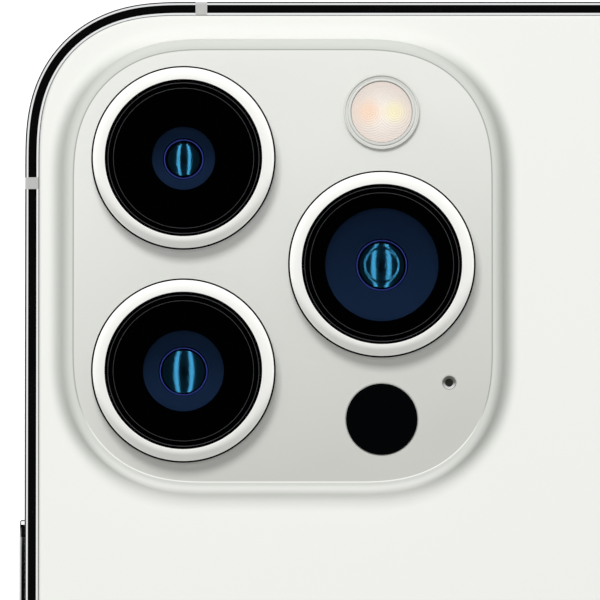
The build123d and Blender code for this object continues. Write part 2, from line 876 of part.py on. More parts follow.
# ---- Inside -------------------------------------------------------------------------
def battery():
    """L-shaped cell behind the display."""
    left = -wall_x + battery_side_gap
    bottom = -half_length + battery_from_bottom
    right = left + battery_width + battery_foot_width
    main_right, top = left + battery_width, bottom + battery_length
    outline = Polyline(
        (left, bottom), (right, bottom), (right, bottom + battery_foot_length),
        (main_right, bottom + battery_foot_length), (main_right, top), (left, top),
        close=True,
    )
    cell = plate(make_face(outline), cavity_front + 2 * cable_thickness, mid_plate_front)
    return fillet(cell.edges().filter_by(Axis.Z), battery_corner_radius)


def board_span():
    """Where the logic board lies: along the side of the volume keys."""
    right = wall_x - battery_side_gap - 0.3
    bottom = -half_length + battery_from_bottom + battery_foot_length + 1.2
    return (right - board_width, right), (bottom, bottom + board_length)


def logic_board():
    """Board with its shielded chips, clear of the tray's cage and the front camera."""
    x_span, y_span = board_span()
    board = box_between(x_span, y_span, (pcb_front, pcb_back))
    cage_top = tray_plate_span()[1] + reader_wall + 1.5
    middle = (cage_top + y_span[1]) / 2
    shields = [
        ((x_span[0] + 0.8, x_span[1] - 0.8), (cage_top, middle - 0.4), board_shield_height),
        ((x_span[0] + 0.8, x_span[0] + 13.0), (middle + 0.4, y_span[1] - 0.8),
         board_shield_height - 0.4),
        ((x_span[0] + 13.8, x_span[1] - 0.8), (middle + 0.4, y_span[1] - 0.8),
         board_shield_height - 0.8),
    ]
    for x_range, y_range, height in shields:
        board += box_between(x_range, y_range, (pcb_front - height, pcb_front))
    return board


def haptic_box():
    """Where the haptic motor's case lies."""
    right = half_width - haptic_from_side
    bottom = -half_length + haptic_from_bottom
    high_z = mid_plate_front
    return ((right - haptic_length, right), (bottom, bottom + haptic_width),
            (high_z - haptic_height, high_z))


def shrunk(spans, amount):
    return [(low + amount, high - amount) for low, high in spans]


def haptic_case():
    spans = haptic_box()
    return box_between(*spans) - box_between(*shrunk(spans, haptic_wall))


def haptic_mass():
    """Tungsten block that shuttles across inside the case."""
    (x_low, x_high), y_span, z_span = shrunk(haptic_box(), haptic_wall + haptic_mass_gap)
    block = box_between((x_low + haptic_travel, x_high - haptic_travel), y_span, z_span)
    return fillet(block.edges().filter_by(Axis.Z), 0.5)


def loudspeaker():
    """Closed speaker box with a duct to its row of holes in the band."""
    left = -wall_x + battery_side_gap
    bottom = -wall_y + 2.0
    top_z = mid_plate_front
    box = box_between((left, left + speaker_length), (bottom, bottom + speaker_width),
                      (top_z - speaker_height, top_z))
    box = fillet(box.edges().filter_by(Axis.Z), 1.0)
    box &= plate(body_outline(band_wall + 4 * part_gap), 0, body_thickness)
    holes = grille_positions()[:speaker_hole_count]
    duct_low, duct_high = min(holes) - 0.9, max(holes) + 0.9
    duct = box_between((duct_low, duct_high), (-wall_y + cover_gap, bottom + 1.5),
                       (mid_level - 1.0, mid_level + 1.0))
    mouth = box_between((duct_low + 0.3, duct_high - 0.3), (-wall_y - 1, bottom + 1.0),
                        (mid_level - 0.7, mid_level + 0.7))
    return box + duct - mouth


def earpiece_speaker():
    width, length, height = earpiece_size
    x_low = notch_width / 2 + 1.6
    y_high = wall_y - 1.4
    unit = box_between((x_low, x_low + width), (y_high - length, y_high),
                       (mid_plate_front - height, mid_plate_front))
    return fillet(unit.edges().filter_by(Axis.Z), 0.6)


def front_camera():
    """Bar of front sensors: their snouts look out through the display's notch."""
    width, length, height = front_camera_size
    y_high = wall_y - 1.4
    middle_y = y_high - length / 2
    z_low = mid_plate_front - height
    bar = box_between((-width / 2 + 0.6, width / 2 + 0.6), (y_high - length, y_high),
                      (z_low, mid_plate_front))
    for at_x in front_camera_snouts:
        bar += post((at_x, middle_y), 1.3, front_glass_thickness + 0.1, z_low + 0.5)
    return bar


def charging_coil():
    return tube((0, coil_centre_y), coil_outer_radius, coil_inner_radius,
                back_ledge - coil_thickness, back_ledge)


def magnet_ring():
    """Ring of magnets round the coil, open towards the bottom, as separate solids."""
    step = (360.0 - magnet_open_degrees) / magnet_count
    start = -90.0 + magnet_open_degrees / 2
    ring = tube((0, 0), magnet_outer_radius, magnet_inner_radius,
                back_ledge - magnet_thickness, back_ledge)
    reach = 2 * magnet_outer_radius
    half_angle = (step - magnet_gap_degrees) / 2 * pi / 180
    wedge_points = [(0, 0), (reach * cos(half_angle), -reach * sin(half_angle)),
                    (reach * cos(half_angle), reach * sin(half_angle))]
    wedge = plate(make_face(Polyline(*wedge_points, close=True)), 0, body_thickness)
    magnets = [
        Pos(0, coil_centre_y, 0) * (ring & (Rot(0, 0, start + (n + 0.5) * step) * wedge))
        for n in range(magnet_count)
    ]
    return Compound([m.solid() for m in magnets])


def battery_cable():
    """Cable from the port, under the battery, to the lower end of the logic board."""
    (board_left, _), (board_bottom, _) = board_span()
    levels = (cavity_front, cavity_front + cable_thickness)
    half = cable_width / 2
    port_back = -half_length + port_recess + port_depth
    run_y = (port_back - port_pad_length, board_bottom + cable_width)
    turn_x = board_left + cable_width
    run = box_between((-half, half), run_y, levels)
    run += box_between((half - 0.5, turn_x), (board_bottom, run_y[1]), levels)
    run += box_between((turn_x - cable_thickness, turn_x),
                       (board_bottom, run_y[1] - 0.5), (levels[0], pcb_front))
    return run + box_between((-2.5, 2.5), (run_y[0], port_back),
                             (levels[0], mid_level - port_height / 2))


def display_cable():
    """Cable from the back of the display panel up to the logic board."""
    (_, board_right), (_, board_top) = board_span()
    x_span = (board_right - cable_width - 1, board_right - 1)
    riser_y = board_top + 0.3
    riser = box_between(x_span, (riser_y, riser_y + cable_thickness),
                        (front_glass_thickness + panel_thickness, pcb_front))
    return riser + box_between(x_span, (board_top - 0.5, riser_y + cable_thickness),
                               (pcb_front - cable_thickness, pcb_front))


def flex_cables():
    return Compound([battery_cable().solid(), display_cable().solid()])


# ---- Write every piece --------------------------------------------------------------
def all_parts():
    tele, wide, ultrawide = cameras
    parts = dict(band_parts())
    parts["mid_plate"] = mid_plate()
    parts["back_glass"] = back_glass()
    parts["front_glass"] = front_glass()
    parts["display_panel"] = display_panel()
    parts["display_frame"] = display_frame()
    parts["display_gasket"] = display_gasket()
    makers = {
        "lens_ring": lens_ring,
        "lens_cover": lens_cover,
        "lens_mask": lens_mask,
        "lens_barrel": lens_barrel,
        "front_lens": front_lens,
        "camera_housing": camera_housing,
    }
    for camera in cameras:
        for kind, make in makers.items():
            parts[f"{camera.name}_{kind}"] = make(camera)
    parts["wide_sensor"] = image_sensor(wide, air=shift_gap)
    parts["wide_shift_carriage"] = shift_carriage(wide)
    parts["fixed_sensors"] = Compound(
        [image_sensor(tele).solid(), image_sensor(ultrawide).solid()])
    parts["camera_bracket"] = camera_bracket()
    parts["flash_bezel"] = flash_bezel()
    parts["flash_lens"] = flash_lens()
    parts["flash_board"] = flash_board()
    parts["lidar_window"] = lidar_window()
    parts["lidar_module"] = lidar_module()
    parts["rear_microphone"] = rear_microphone()
    parts["side_button"] = side_key(power_key_length, power_key_from_top, -1)
    parts["volume_up_button"] = side_key(volume_key_length, volume_up_from_top, 1)
    parts["volume_down_button"] = side_key(volume_key_length, volume_down_from_top, 1)
    parts["ring_switch_lever"] = ring_switch_lever()
    parts["key_switches"] = key_switches()
    parts["sim_tray"] = sim_tray()
    parts["sim_reader"] = sim_reader()
    parts["charging_port"] = charging_port()
    parts["case_screws"] = case_screws()
    parts["battery"] = battery()
    parts["logic_board"] = logic_board()
    parts["haptic_case"] = haptic_case()
    parts["haptic_mass"] = haptic_mass()
    parts["loudspeaker"] = loudspeaker()
    parts["earpiece_speaker"] = earpiece_speaker()
    parts["front_camera"] = front_camera()
    parts["charging_coil"] = charging_coil()
    parts["magnet_ring"] = magnet_ring()
    parts["flex_cables"] = flex_cables()
    return parts


if __name__ == "__main__":
    os.makedirs("parts", exist_ok=True)
    for name, shape in all_parts().items():
        export_step(shape, f"parts/{name}.step")
        print(name, round(shape.volume, 2))
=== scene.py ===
# %% [markdown]
# # A smartphone with a three-camera plateau
# The phone lies on its display on a pale table, and the camera looks down on the corner
# with the lenses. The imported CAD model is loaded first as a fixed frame. Every piece made
# below is then placed from the boxes of that frame's nodes, so nothing is fitted by eye.

# %% Load the frame
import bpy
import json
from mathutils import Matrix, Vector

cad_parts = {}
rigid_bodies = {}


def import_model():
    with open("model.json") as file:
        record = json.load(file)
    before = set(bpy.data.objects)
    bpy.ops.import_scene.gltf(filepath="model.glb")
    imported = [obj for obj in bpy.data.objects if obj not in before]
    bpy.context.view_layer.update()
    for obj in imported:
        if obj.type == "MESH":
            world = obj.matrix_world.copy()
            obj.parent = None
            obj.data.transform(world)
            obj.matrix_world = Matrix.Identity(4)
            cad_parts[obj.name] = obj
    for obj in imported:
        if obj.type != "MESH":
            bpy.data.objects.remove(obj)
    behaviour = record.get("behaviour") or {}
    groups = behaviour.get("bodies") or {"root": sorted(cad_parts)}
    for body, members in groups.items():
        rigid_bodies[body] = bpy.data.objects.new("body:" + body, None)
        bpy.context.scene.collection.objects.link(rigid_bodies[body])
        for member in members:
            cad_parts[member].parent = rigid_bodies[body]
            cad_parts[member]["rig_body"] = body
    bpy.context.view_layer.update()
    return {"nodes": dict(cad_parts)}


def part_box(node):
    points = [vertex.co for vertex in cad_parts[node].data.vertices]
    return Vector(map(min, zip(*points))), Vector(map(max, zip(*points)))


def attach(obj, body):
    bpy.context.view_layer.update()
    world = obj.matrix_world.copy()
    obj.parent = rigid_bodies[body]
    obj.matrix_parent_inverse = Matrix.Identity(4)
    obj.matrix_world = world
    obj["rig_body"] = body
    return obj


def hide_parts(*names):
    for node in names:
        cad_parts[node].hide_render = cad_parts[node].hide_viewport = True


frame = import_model()

# %% [markdown]
# ## Millimetres in, metres out
# Phone parts are drawn in millimetres, and the frame is in metres. The helpers below read
# the CAD boxes in millimetres, and one function turns points in millimetres into a mesh.
# Two more make nearly all of the shapes: one joins a stack of loops, as a loft does, and
# one spins a profile round an upright axis, as a lathe does.

# %% Sizes from the frame
import json
from math import atan, comb, cos, degrees, pi, radians, sin, sqrt, tan

import bmesh
import bpy
from mathutils import Matrix, Vector

MM = 0.001


def box(node):
    """Lowest and highest corner of a CAD node, in millimetres."""
    low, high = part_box(node)
    return low / MM, high / MM


def middle(node):
    low, high = box(node)
    return (low + high) / 2


def size(node):
    low, high = box(node)
    return high - low


# %% Meshes from points
def make_piece(name, points, faces, finishes, sharp_degrees=32, closed=True):
    """A piece from points in millimetres. finishes is a material, or a list of them."""
    mesh = bpy.data.meshes.new(name)
    mesh.from_pydata([[c * MM for c in p] for p in points], [], faces)
    clean = bmesh.new()
    clean.from_mesh(mesh)
    bmesh.ops.remove_doubles(clean, verts=clean.verts, dist=1e-7)
    if closed:
        bmesh.ops.recalc_face_normals(clean, faces=clean.faces)
    clean.to_mesh(mesh)
    clean.free()
    for finish in finishes if isinstance(finishes, (list, tuple)) else [finishes]:
        mesh.materials.append(finish)
    smooth(mesh, sharp_degrees)
    piece = bpy.data.objects.new(name, mesh)
    bpy.context.scene.collection.objects.link(piece)
    return piece


def smooth(mesh, sharp_degrees=32):
    """Smooth shading, with edges kept crisp where the surface really turns."""
    mesh.polygons.foreach_set("use_smooth", [True] * len(mesh.polygons))
    mesh.set_sharp_from_angle(angle=radians(sharp_degrees))


def stacked(loops, cap_first=True, cap_last=True, wrap=False):
    """Points and faces of a stack of loops that all have the same number of points."""
    count = len(loops[0])
    points = [p for loop in loops for p in loop]
    faces = []
    pairs = list(zip(range(len(loops)), range(1, len(loops))))
    if wrap:
        pairs.append((len(loops) - 1, 0))
    for low, high in pairs:
        for i in range(count):
            j = (i + 1) % count
            faces.append((low * count + i, low * count + j,
                          high * count + j, high * count + i))
    if cap_first and not wrap:
        faces.append(tuple(reversed(range(count))))
    if cap_last and not wrap:
        faces.append(tuple(range((len(loops) - 1) * count, len(loops) * count)))
    return points, faces


def circle(radius, z, centre=(0, 0), count=160):
    return [(centre[0] + radius * cos(2 * pi * i / count),
             centre[1] + radius * sin(2 * pi * i / count), z) for i in range(count)]


def turned(name, profile, centre, finishes, count=160, sharp_degrees=32, wrap=True):
    """A lathe: the closed (radius, z) profile spun round an upright axis."""
    loops = [circle(max(r, 0.0), z, centre, count) for r, z in profile]
    points, faces = stacked(loops, cap_first=False, cap_last=False, wrap=wrap)
    return make_piece(name, points, faces, finishes, sharp_degrees, closed=wrap)


def paint(piece, centre, rule):
    """Gives each face the finish number that rule(distance from the axis, face) says."""
    for face in piece.data.polygons:
        x, y, _ = face.center / MM
        reach = sqrt((x - centre[0]) ** 2 + (y - centre[1]) ** 2)
        face.material_index = rule(reach, face)


def arc(centre, radius, start, stop, steps=8):
    """Points of an arc in a (radius, z) profile. Angles are degrees from the +r axis."""
    angles = [radians(start + (stop - start) * i / steps) for i in range(steps + 1)]
    return [(centre[0] + radius * cos(a), centre[1] + radius * sin(a)) for a in angles]


# %% [markdown]
# ## Cutting and joining
# Keyways, screw holes and the port are cut out of the finished band with boolean tools,
# as a mill would cut them. The result is baked into the mesh, so no modifier is left.

# %% Boolean tools
def cut(piece, cutters, sharp_degrees=32):
    """Takes the cutters out of the piece and deletes them."""
    for cutter in cutters:
        tool = piece.modifiers.new("cut", "BOOLEAN")
        tool.operation, tool.solver, tool.object = "DIFFERENCE", "EXACT", cutter
        bpy.context.view_layer.update()
        shape = piece.evaluated_get(bpy.context.evaluated_depsgraph_get())
        mesh = bpy.data.meshes.new_from_object(shape)
        piece.modifiers.clear()
        old = piece.data
        piece.data = mesh
        bpy.data.meshes.remove(old)
        mesh.name = piece.name
        bpy.data.objects.remove(cutter)
    smooth(piece.data, sharp_degrees)
    return piece


def cylinder_cutter(centre, radius, z_low, z_high, count=160):
    loops = [circle(radius, z, centre, count) for z in (z_low, z_high)]
    return make_piece("cutter", *stacked(loops), [])


def join(name, pieces):
    """Joins meshes into one piece and keeps their materials."""
    whole = bmesh.new()
    finishes = []
    for piece in pieces:
        offset = len(finishes)
        finishes += list(piece.data.materials)
        before = len(whole.faces)
        whole.from_mesh(piece.data)
        whole.faces.ensure_lookup_table()
        for face in whole.faces[before:]:
            face.material_index += offset
    mesh = bpy.data.meshes.new(name)
    whole.to_mesh(mesh)
    whole.free()
    for finish in finishes:
        mesh.materials.append(finish)
    for piece in pieces:
        bpy.data.objects.remove(piece)
    smooth(mesh)
    joined = bpy.data.objects.new(name, mesh)
    bpy.context.scene.collection.objects.link(joined)
    return joined


def darken_roundings(piece):
    """Gives the edges of polished steel that face neither up nor to the side the finish
    that is painted darker with the slant, as painted dark reflection."""
    piece.data.materials.append(ROUNDED_STEEL)
    last = len(piece.data.materials) - 1
    side, up = 0.1, 0.93
    for face in piece.data.polygons:
        steel_face = piece.data.materials[face.material_index] == POLISHED_STEEL
        if steel_face and side < abs(face.normal.z) < up:
            face.material_index = last


def stand_for(piece, *nodes, slot):
    """The piece rides where these CAD nodes ride, and is shown in their place.
    slot is not used."""
    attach(piece, frame["nodes"][nodes[0]]["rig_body"])
    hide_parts(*nodes)
    print(f"{piece.name}: {len(piece.data.polygons)} faces, for {', '.join(nodes)}")
    return piece


# %% [markdown]
# ## Colours and shader nodes
# Colours are written as sRGB hex values, the way a designer picks them, and one function
# turns them to the linear values that the renderer works in. One function adds a shader
# node with its settings and links. Patterns are laid out in the object's own coordinates,
# in metres, so a pattern's scale is one over the size of its grain.
#
# A colour can also depend on which way the surface faces, which is how light and shade
# are painted into it here. It is read from the normal in the object's own coordinates,
# so the colour stays on the piece from every side.

# %% Material helpers
# Sockets of a Mix node that is set to mix colours, which go by number.
SHARE, COLOUR_A, COLOUR_B, MIXED = 0, 6, 7, 2


def linear(hex_colour):
    """An sRGB hex colour as linear RGBA."""
    parts = [int(hex_colour[i:i + 2], 16) / 255 for i in (1, 3, 5)]
    return [p / 12.92 if p <= 0.04045 else ((p + 0.055) / 1.055) ** 2.4
            for p in parts] + [1.0]


def add(tree, kind, values=None, links=None, **settings):
    """Adds a shader node, sets its settings and socket values, and links its inputs."""
    made = tree.nodes.new(kind)
    for name, value in settings.items():
        setattr(made, name, value)
    for socket, value in (values or {}).items():
        made.inputs[socket].default_value = value
    for socket, source in (links or {}).items():
        tree.links.new(source, made.inputs[socket])
    return made


def surface(name, colour, **sockets):
    """A material with one Principled shader. Socket names are given with underscores."""
    material = bpy.data.materials.new(name)
    material.use_nodes = True
    tree = material.node_tree
    shader = tree.nodes["Principled BSDF"]
    shader.inputs["Base Color"].default_value = linear(colour)
    for socket, value in sockets.items():
        shader.inputs[socket.replace("_", " ")].default_value = value
    return material, tree, shader


def grain(tree, millimetres, detail=2.0):
    """Noise whose grain is that many millimetres across."""
    place = add(tree, "ShaderNodeTexCoord")
    return add(tree, "ShaderNodeTexNoise", {"Scale": 1 / (millimetres * MM),
                                            "Detail": detail},
               {"Vector": place.outputs["Object"]})


def uneven_polish(tree, shader, source, low, high):
    """Roughness from low to high over the noise's usual span, 0.3 to 0.7."""
    ranged = add(tree, "ShaderNodeMapRange", {"From Min": 0.3, "From Max": 0.7,
                                              "To Min": low, "To Max": high},
                 {"Value": source.outputs["Fac"]})
    tree.links.new(ranged.outputs["Result"], shader.inputs["Roughness"])


def relief(tree, shader, source, millimetres):
    """Bump that is that many millimetres deep."""
    bump = add(tree, "ShaderNodeBump", {"Strength": 1.0, "Distance": millimetres * MM},
               {"Height": source.outputs["Fac"]})
    tree.links.new(bump.outputs["Normal"], shader.inputs["Normal"])


def blend_by_normal(tree, axis, start, stop, first, last):
    """Colour that goes from first to last as the surface, in the object's own frame,
    faces along the axis: x or z (either way), or y. first may be another blend."""
    place = add(tree, "ShaderNodeTexCoord")
    parts = add(tree, "ShaderNodeSeparateXYZ", None, {"Vector": place.outputs["Normal"]})
    lean = parts.outputs[axis.upper()]
    if axis != "y":
        lean = add(tree, "ShaderNodeMath", None, {0: lean},
                   operation="ABSOLUTE").outputs["Value"]
    share = add(tree, "ShaderNodeMapRange", {"From Min": start, "From Max": stop},
                {"Value": lean}, interpolation_type="SMOOTHSTEP")
    colours, links = {COLOUR_B: linear(last)}, {SHARE: share.outputs["Result"]}
    if isinstance(first, str):
        colours[COLOUR_A] = linear(first)
    else:
        links[COLOUR_A] = first
    return add(tree, "ShaderNodeMix", colours, links, data_type="RGBA").outputs[MIXED]


def tint_by_normal(material, *blend):
    """Sets the base colour to the blend_by_normal of that axis, span and colours."""
    tree = material.node_tree
    tree.links.new(blend_by_normal(tree, *blend),
                   tree.nodes["Principled BSDF"].inputs["Base Color"])
    return material


def mottle(tree, shader, source, dark, light):
    """Base colour that drifts between two close tones."""
    blend = add(tree, "ShaderNodeMix", {COLOUR_A: linear(dark), COLOUR_B: linear(light)},
                {SHARE: source.outputs["Fac"]}, data_type="RGBA")
    tree.links.new(blend.outputs[MIXED], shader.inputs["Base Color"])


# %% [markdown]
# ## Glass finishes
# The back is one sheet of white-backed glass. Its flat part is etched, so light spreads
# in the surface and it looks like porcelain. The plateau is the same glass left polished,
# so it is a little glossier and shows soft reflections. Its colour is painted a shade
# darker towards the lower end, as painted soft reflection and shade. The etch is finer
# than the render can show, so its grain is drawn a tenth of a millimetre across. Where
# the glass slopes to a side it is painted grey-green, as painted shade.

# %% White back glass
# The second colour is painted shade, for where the glass slopes to a side.
GLASS_WHITE, GLASS_SIDE_PAINTED_SHADE = "#f3f4ef", "#bcc0b9"
# The plateau's colour is painted lighter along this way, between these two points in
# millimetres, as painted soft reflection and shade.
PAINTED_SHADE_TOWARD = (-0.25, 0.97, 0.0)
PAINTED_SHADE_FROM, PAINTED_SHADE_TO = (-14.7, 34.5), (-14.7, 61.7)


def etched_white_glass(name, level):
    """level is the colour where the glass faces up or to an end of the phone."""
    material, tree, shader = surface(name, GLASS_WHITE, Roughness=0.55, IOR=1.5)
    etch = grain(tree, 0.1)
    uneven_polish(tree, shader, etch, 0.5, 0.6)
    relief(tree, shader, etch, 0.0006)
    if not isinstance(level, str):
        level = blend_by_normal(tree, *level)
    # Painted shade: where the glass slopes to a side, its colour goes to grey-green.
    return tint_by_normal(material, "x", 0.1, 0.9, level, GLASS_SIDE_PAINTED_SHADE)


def polished_white_glass():
    """Painted soft reflection and shade: the colour is darkest at the first point and
    lightest at the second.
    """
    material, tree, shader = surface("polished_white_glass", "#d8d9d4", Roughness=0.3,
                                     IOR=1.5, Coat_Weight=0.2, Coat_Roughness=0.12)
    ripple = grain(tree, 9.0, detail=1.0)
    uneven_polish(tree, shader, ripple, 0.28, 0.32)
    place = add(tree, "ShaderNodeTexCoord")
    along = add(tree, "ShaderNodeVectorMath", {1: PAINTED_SHADE_TOWARD},
                {0: place.outputs["Object"]}, operation="DOT_PRODUCT")
    first, last = ((PAINTED_SHADE_TOWARD[0] * x + PAINTED_SHADE_TOWARD[1] * y) * MM
                   for x, y in (PAINTED_SHADE_FROM, PAINTED_SHADE_TO))
    depth = add(tree, "ShaderNodeMapRange", {"From Min": first, "From Max": last},
                {"Value": along.outputs["Value"]})
    blend = add(tree, "ShaderNodeMix",
                {COLOUR_A: linear("#cecfc9"), COLOUR_B: linear("#eaebe6")},
                {SHARE: depth.outputs["Result"]}, data_type="RGBA")
    tree.links.new(blend.outputs[MIXED], shader.inputs["Base Color"])
    return material


ETCHED_GLASS = etched_white_glass("etched_white_glass", GLASS_WHITE)
# The shoulder is painted greyer, as painted shade, and palest where it faces the lower
# end of the phone, as painted light.
SHOULDER_GLASS = etched_white_glass("etched_white_glass_shoulder",
                                    ("y", 0.0, -0.6, "#d6d8d2", "#fdfef9"))
PLATEAU_GLASS = polished_white_glass()
# A ground edge scatters light and looks pale. It is painted the whitest line on the glass
# where it faces the lower end of the phone, as painted light, and a pale grey one
# elsewhere, as painted shade.
GROUND_EDGE = tint_by_normal(
    surface("ground_glass_edge", "#fafaf6", Roughness=0.35, IOR=1.5)[0],
    "y", -0.06, -0.015, "#fafaf6", "#a9ada6")

# %% [markdown]
# Clear covers and black windows are polished glass too. The covers let the lens show, so
# they are mostly see-through and keep only their gloss. The black windows are inked on
# the back, which reads as deep black under a clean shine. Handling leaves a film of
# smudges, a few millimetres across, which only shows as a slow change in the gloss.

# %% Clear and black glass
def clear_cover_glass():
    material, tree, shader = surface("clear_cover_glass", "#050608", Roughness=0.02,
                                     IOR=1.5, Alpha=0.08)
    uneven_polish(tree, shader, grain(tree, 2.5), 0.015, 0.035)
    return material


def inked_black_glass():
    material, tree, shader = surface("inked_black_glass", "#040506", Roughness=0.03,
                                     IOR=1.5)
    uneven_polish(tree, shader, grain(tree, 4.0), 0.02, 0.05)
    return material


def coated_lens_glass(name, colour, tint, roughness, index):
    """Optical glass with an anti-reflex coating, which tints what it still reflects."""
    material, tree, shader = surface(name, colour, Roughness=roughness, IOR=index,
                                     Specular_Tint=linear(tint))
    figure = grain(tree, 0.6, detail=1.0)
    uneven_polish(tree, shader, figure, roughness * 0.95, roughness * 1.05)
    return material


COVER_GLASS = clear_cover_glass()
BLACK_GLASS = inked_black_glass()
LENS_RIM = coated_lens_glass("violet_coated_rim", "#10163c", "#5a4dff", 0.15, 1.8)
# Painted reflection: the dish's blue is painted a shade lighter where it faces the upper
# end of the phone.
LENS_FIELD = tint_by_normal(
    coated_lens_glass("blue_coated_field", "#0a1728", "#5f8fd0", 0.5, 1.5),
    "y", -0.1, 0.1, "#050f20", "#12213a")

# %% [markdown]
# ## Steel and other metal finishes
# The band is stainless steel polished to a mirror, so it shows its surroundings as dark
# and light stripes. Where an edge rounds over to the side, its colour is painted from steel
# to near black with the slant, as painted dark reflection, in a finish of its own. The lens
# rings are the same steel with a satin top. Real polishing leaves faint waves, which are
# drawn as slow changes of roughness. Blasting and stamping leave pits that are finer
# than the render can show, so they are drawn 0.15 to 0.5 mm across.
#
# The coating on the front elements is listed with the metals, because it mirrors as they
# do, but only in a deep blue-green.

# %% Metals
def steel(name, colour, low, high, wave, depth=0.0, slant="#ffffff"):
    """A metal. slant is the tint of what it mirrors when seen almost edge-on."""
    material, tree, shader = surface(name, colour, Metallic=1.0, Roughness=low,
                                     Specular_Tint=linear(slant))
    waves = grain(tree, wave)
    uneven_polish(tree, shader, waves, low, high)
    if depth:
        relief(tree, shader, waves, depth)
    return material


STEEL_TONE = "#e4e5e6"
POLISH = (0.03, 0.07, 3.0)     # roughness of the smoothest and dullest parts, wave in mm


def rounded_steel():
    """The same polish, painted from steel to near black as it turns to face the side, as
    painted dark reflection.
    """
    material = steel("polished_rounding_painted_dark", STEEL_TONE, *POLISH)
    tree = material.node_tree
    mirrored = blend_by_normal(tree, "z", 0.81, 0.77, STEEL_TONE, "#08090a")
    for socket in ("Base Color", "Specular Tint"):
        tree.links.new(mirrored, tree.nodes["Principled BSDF"].inputs[socket])
    return material


# Stainless steel, mirror polished: crisp reflections, bright or black by what is near.
POLISHED_STEEL = steel("mirror_polished_stainless_steel", STEEL_TONE, *POLISH)
ROUNDED_STEEL = rounded_steel()
# Stainless steel, blasted to satin: an even white face with no reflections in it, painted
# a touch greyer where it falls towards the lower end, as painted shade.
RING_TOP_STEEL = tint_by_normal(
    steel("satin_stainless_steel", "#eeeeea", 0.36, 0.42, 0.15, 0.0004),
    "y", -0.07, -0.01, "#cfd0cb", "#eeeeea")
# The tight rounding round the satin face, painted near black as painted dark reflection:
# a thin dark outline.
PAINTED_DARK_EDGE_STEEL = steel("painted_dark_edge", "#0e0e0f", 0.08, 0.12, 1.0, slant="#1a1a1a")
# Steel sheet, stamped and nickel plated: a soft yellowish sheen.
STAMPED_STEEL = steel("nickel_plated_steel", "#b4b3ae", 0.25, 0.4, 0.4, 0.002)
# Aluminium, milled: a duller and cooler sheen than the steel.
MACHINED_ALUMINIUM = steel("machined_aluminium", "#b9bbbd", 0.3, 0.45, 0.5, 0.002)
# Aluminium foil with a dark lacquer, pressed over the cell: slight wrinkles.
FOIL_POUCH = steel("aluminium_foil_pouch", "#4a4b4e", 0.4, 0.55, 1.5, 0.01)
# Tungsten, sintered from powder: dark and matt.
TUNGSTEN = steel("sintered_tungsten", "#6d6e70", 0.45, 0.6, 0.3, 0.004)
# Copper wire, wound under clear enamel: a warm gloss broken up by the wire.
COPPER_COIL = steel("enamelled_copper_wire", "#b7693e", 0.25, 0.35, 0.3, 0.01)
# Magnets, plated with nickel: a smooth grey gloss.
MAGNET_NICKEL = steel("nickel_plated_magnet", "#9a9c9f", 0.2, 0.3, 0.6, 0.002)
# Optical glass with a vapour-deposited mirror coating: blue-green bars on black.
LENS_DOME = steel("dichroic_lens_coating", "#041620", 0.13, 0.14, 2.0, slant="#060a14")

# %% [markdown]
# ## Plastics, rubber and boards
# Moulded plastic copies the fine spark-eroded grain of its tool, and its colour drifts a
# little where it cooled. The grain is a few hundredths of a millimetre on the real
# parts, so it is drawn a tenth of a millimetre or more across, to show.

# %% Plastics, rubber and boards
def moulded(name, colour, light, roughness, grit, depth=0.001, level=0.5):
    """A moulded plastic or rubber: a fine grain from the tool, and two close tones."""
    material, tree, shader = surface(name, colour, Roughness=roughness, IOR=1.5,
                                     Specular_IOR_Level=level)
    texture = grain(tree, grit, detail=3.0)
    mottle(tree, shader, texture, colour, light)
    relief(tree, shader, texture, depth)
    return material


# Glass-filled resin, moulded and milled flush with the steel: an even pale grey.
BREAK_RESIN = moulded("antenna_break_resin", "#b9b9b7", "#c2c2c0", 0.35, 0.12)
# Black moulded resin: a soft low gloss.
BLACK_RESIN = moulded("black_moulded_resin", "#060607", "#0b0b0d", 0.4, 0.08)
# Flocked black paint, as used inside lenses: it gives nothing back.
DEEP_BLACK = moulded("light_absorbing_black_paint", "#000000", "#010101", 0.9, 0.05,
                     0.0005, level=0.0)
# Woven acoustic mesh, too fine to show: a dull near black.
THROAT_GREY = moulded("dark_mesh", "#1c1d1a", "#232420", 0.6, 0.06, level=0.2)
# Steel eyelet, painted pale: its upper flank painted grey as painted shade, and its lower
# flank the lightest as painted light.
EYELET = tint_by_normal(
    moulded("eyelet_painted_light_and_shade", "#e6e7e2", "#eaebe6", 0.3, 0.1),
    "y", -0.2, 0.75, "#85867f", "#ffffff")
# A grey hairline on the black mask: a painted highlight.
HAIRLINE_PAINTED_HIGHLIGHT = moulded("painted_hairline_highlight", "#3b3c3f", "#46474a", 0.35, 0.1)
# Die-cut foam tape: matt, with open pores.
SEAL_FOAM = moulded("adhesive_foam", "#1b1b1d", "#262628", 0.8, 0.2, 0.01)
# Glass-fibre board under a sprayed lacquer: dark green, with the weave's faint swell.
BOARD = moulded("circuit_board_lacquer", "#1d2b25", "#26382f", 0.35, 0.5)
# Cast polyimide film over copper tracks: amber brown and smooth.
POLYIMIDE = moulded("polyimide_film", "#5a3c1f", "#6b4926", 0.3, 0.3)
# Black backing film, pressed on with rollers: smooth, with slow waves.
DISPLAY_FILM = moulded("display_backing_film", "#0c0c0e", "#121215", 0.3, 0.6)

# %% [markdown]
# ## The outline of the body
# The body's corners aren't arcs. Each one is a single Bezier curve that eases out of the
# straight sides, so highlights run round it with no jump. The same rule, with other
# numbers, draws the camera plateau. An inset moves the whole outline inwards.

# %% Outline rule
BODY_CORNER = (13.5, 8.6, 4.6)
PLATEAU_CORNER = (11.5, 7.3, 3.9)
CORNER_INSET_SHARE = 0.558
CORNER_STEPS = 40
CORNER_TURNS = [k / CORNER_STEPS for k in range(CORNER_STEPS + 1)]

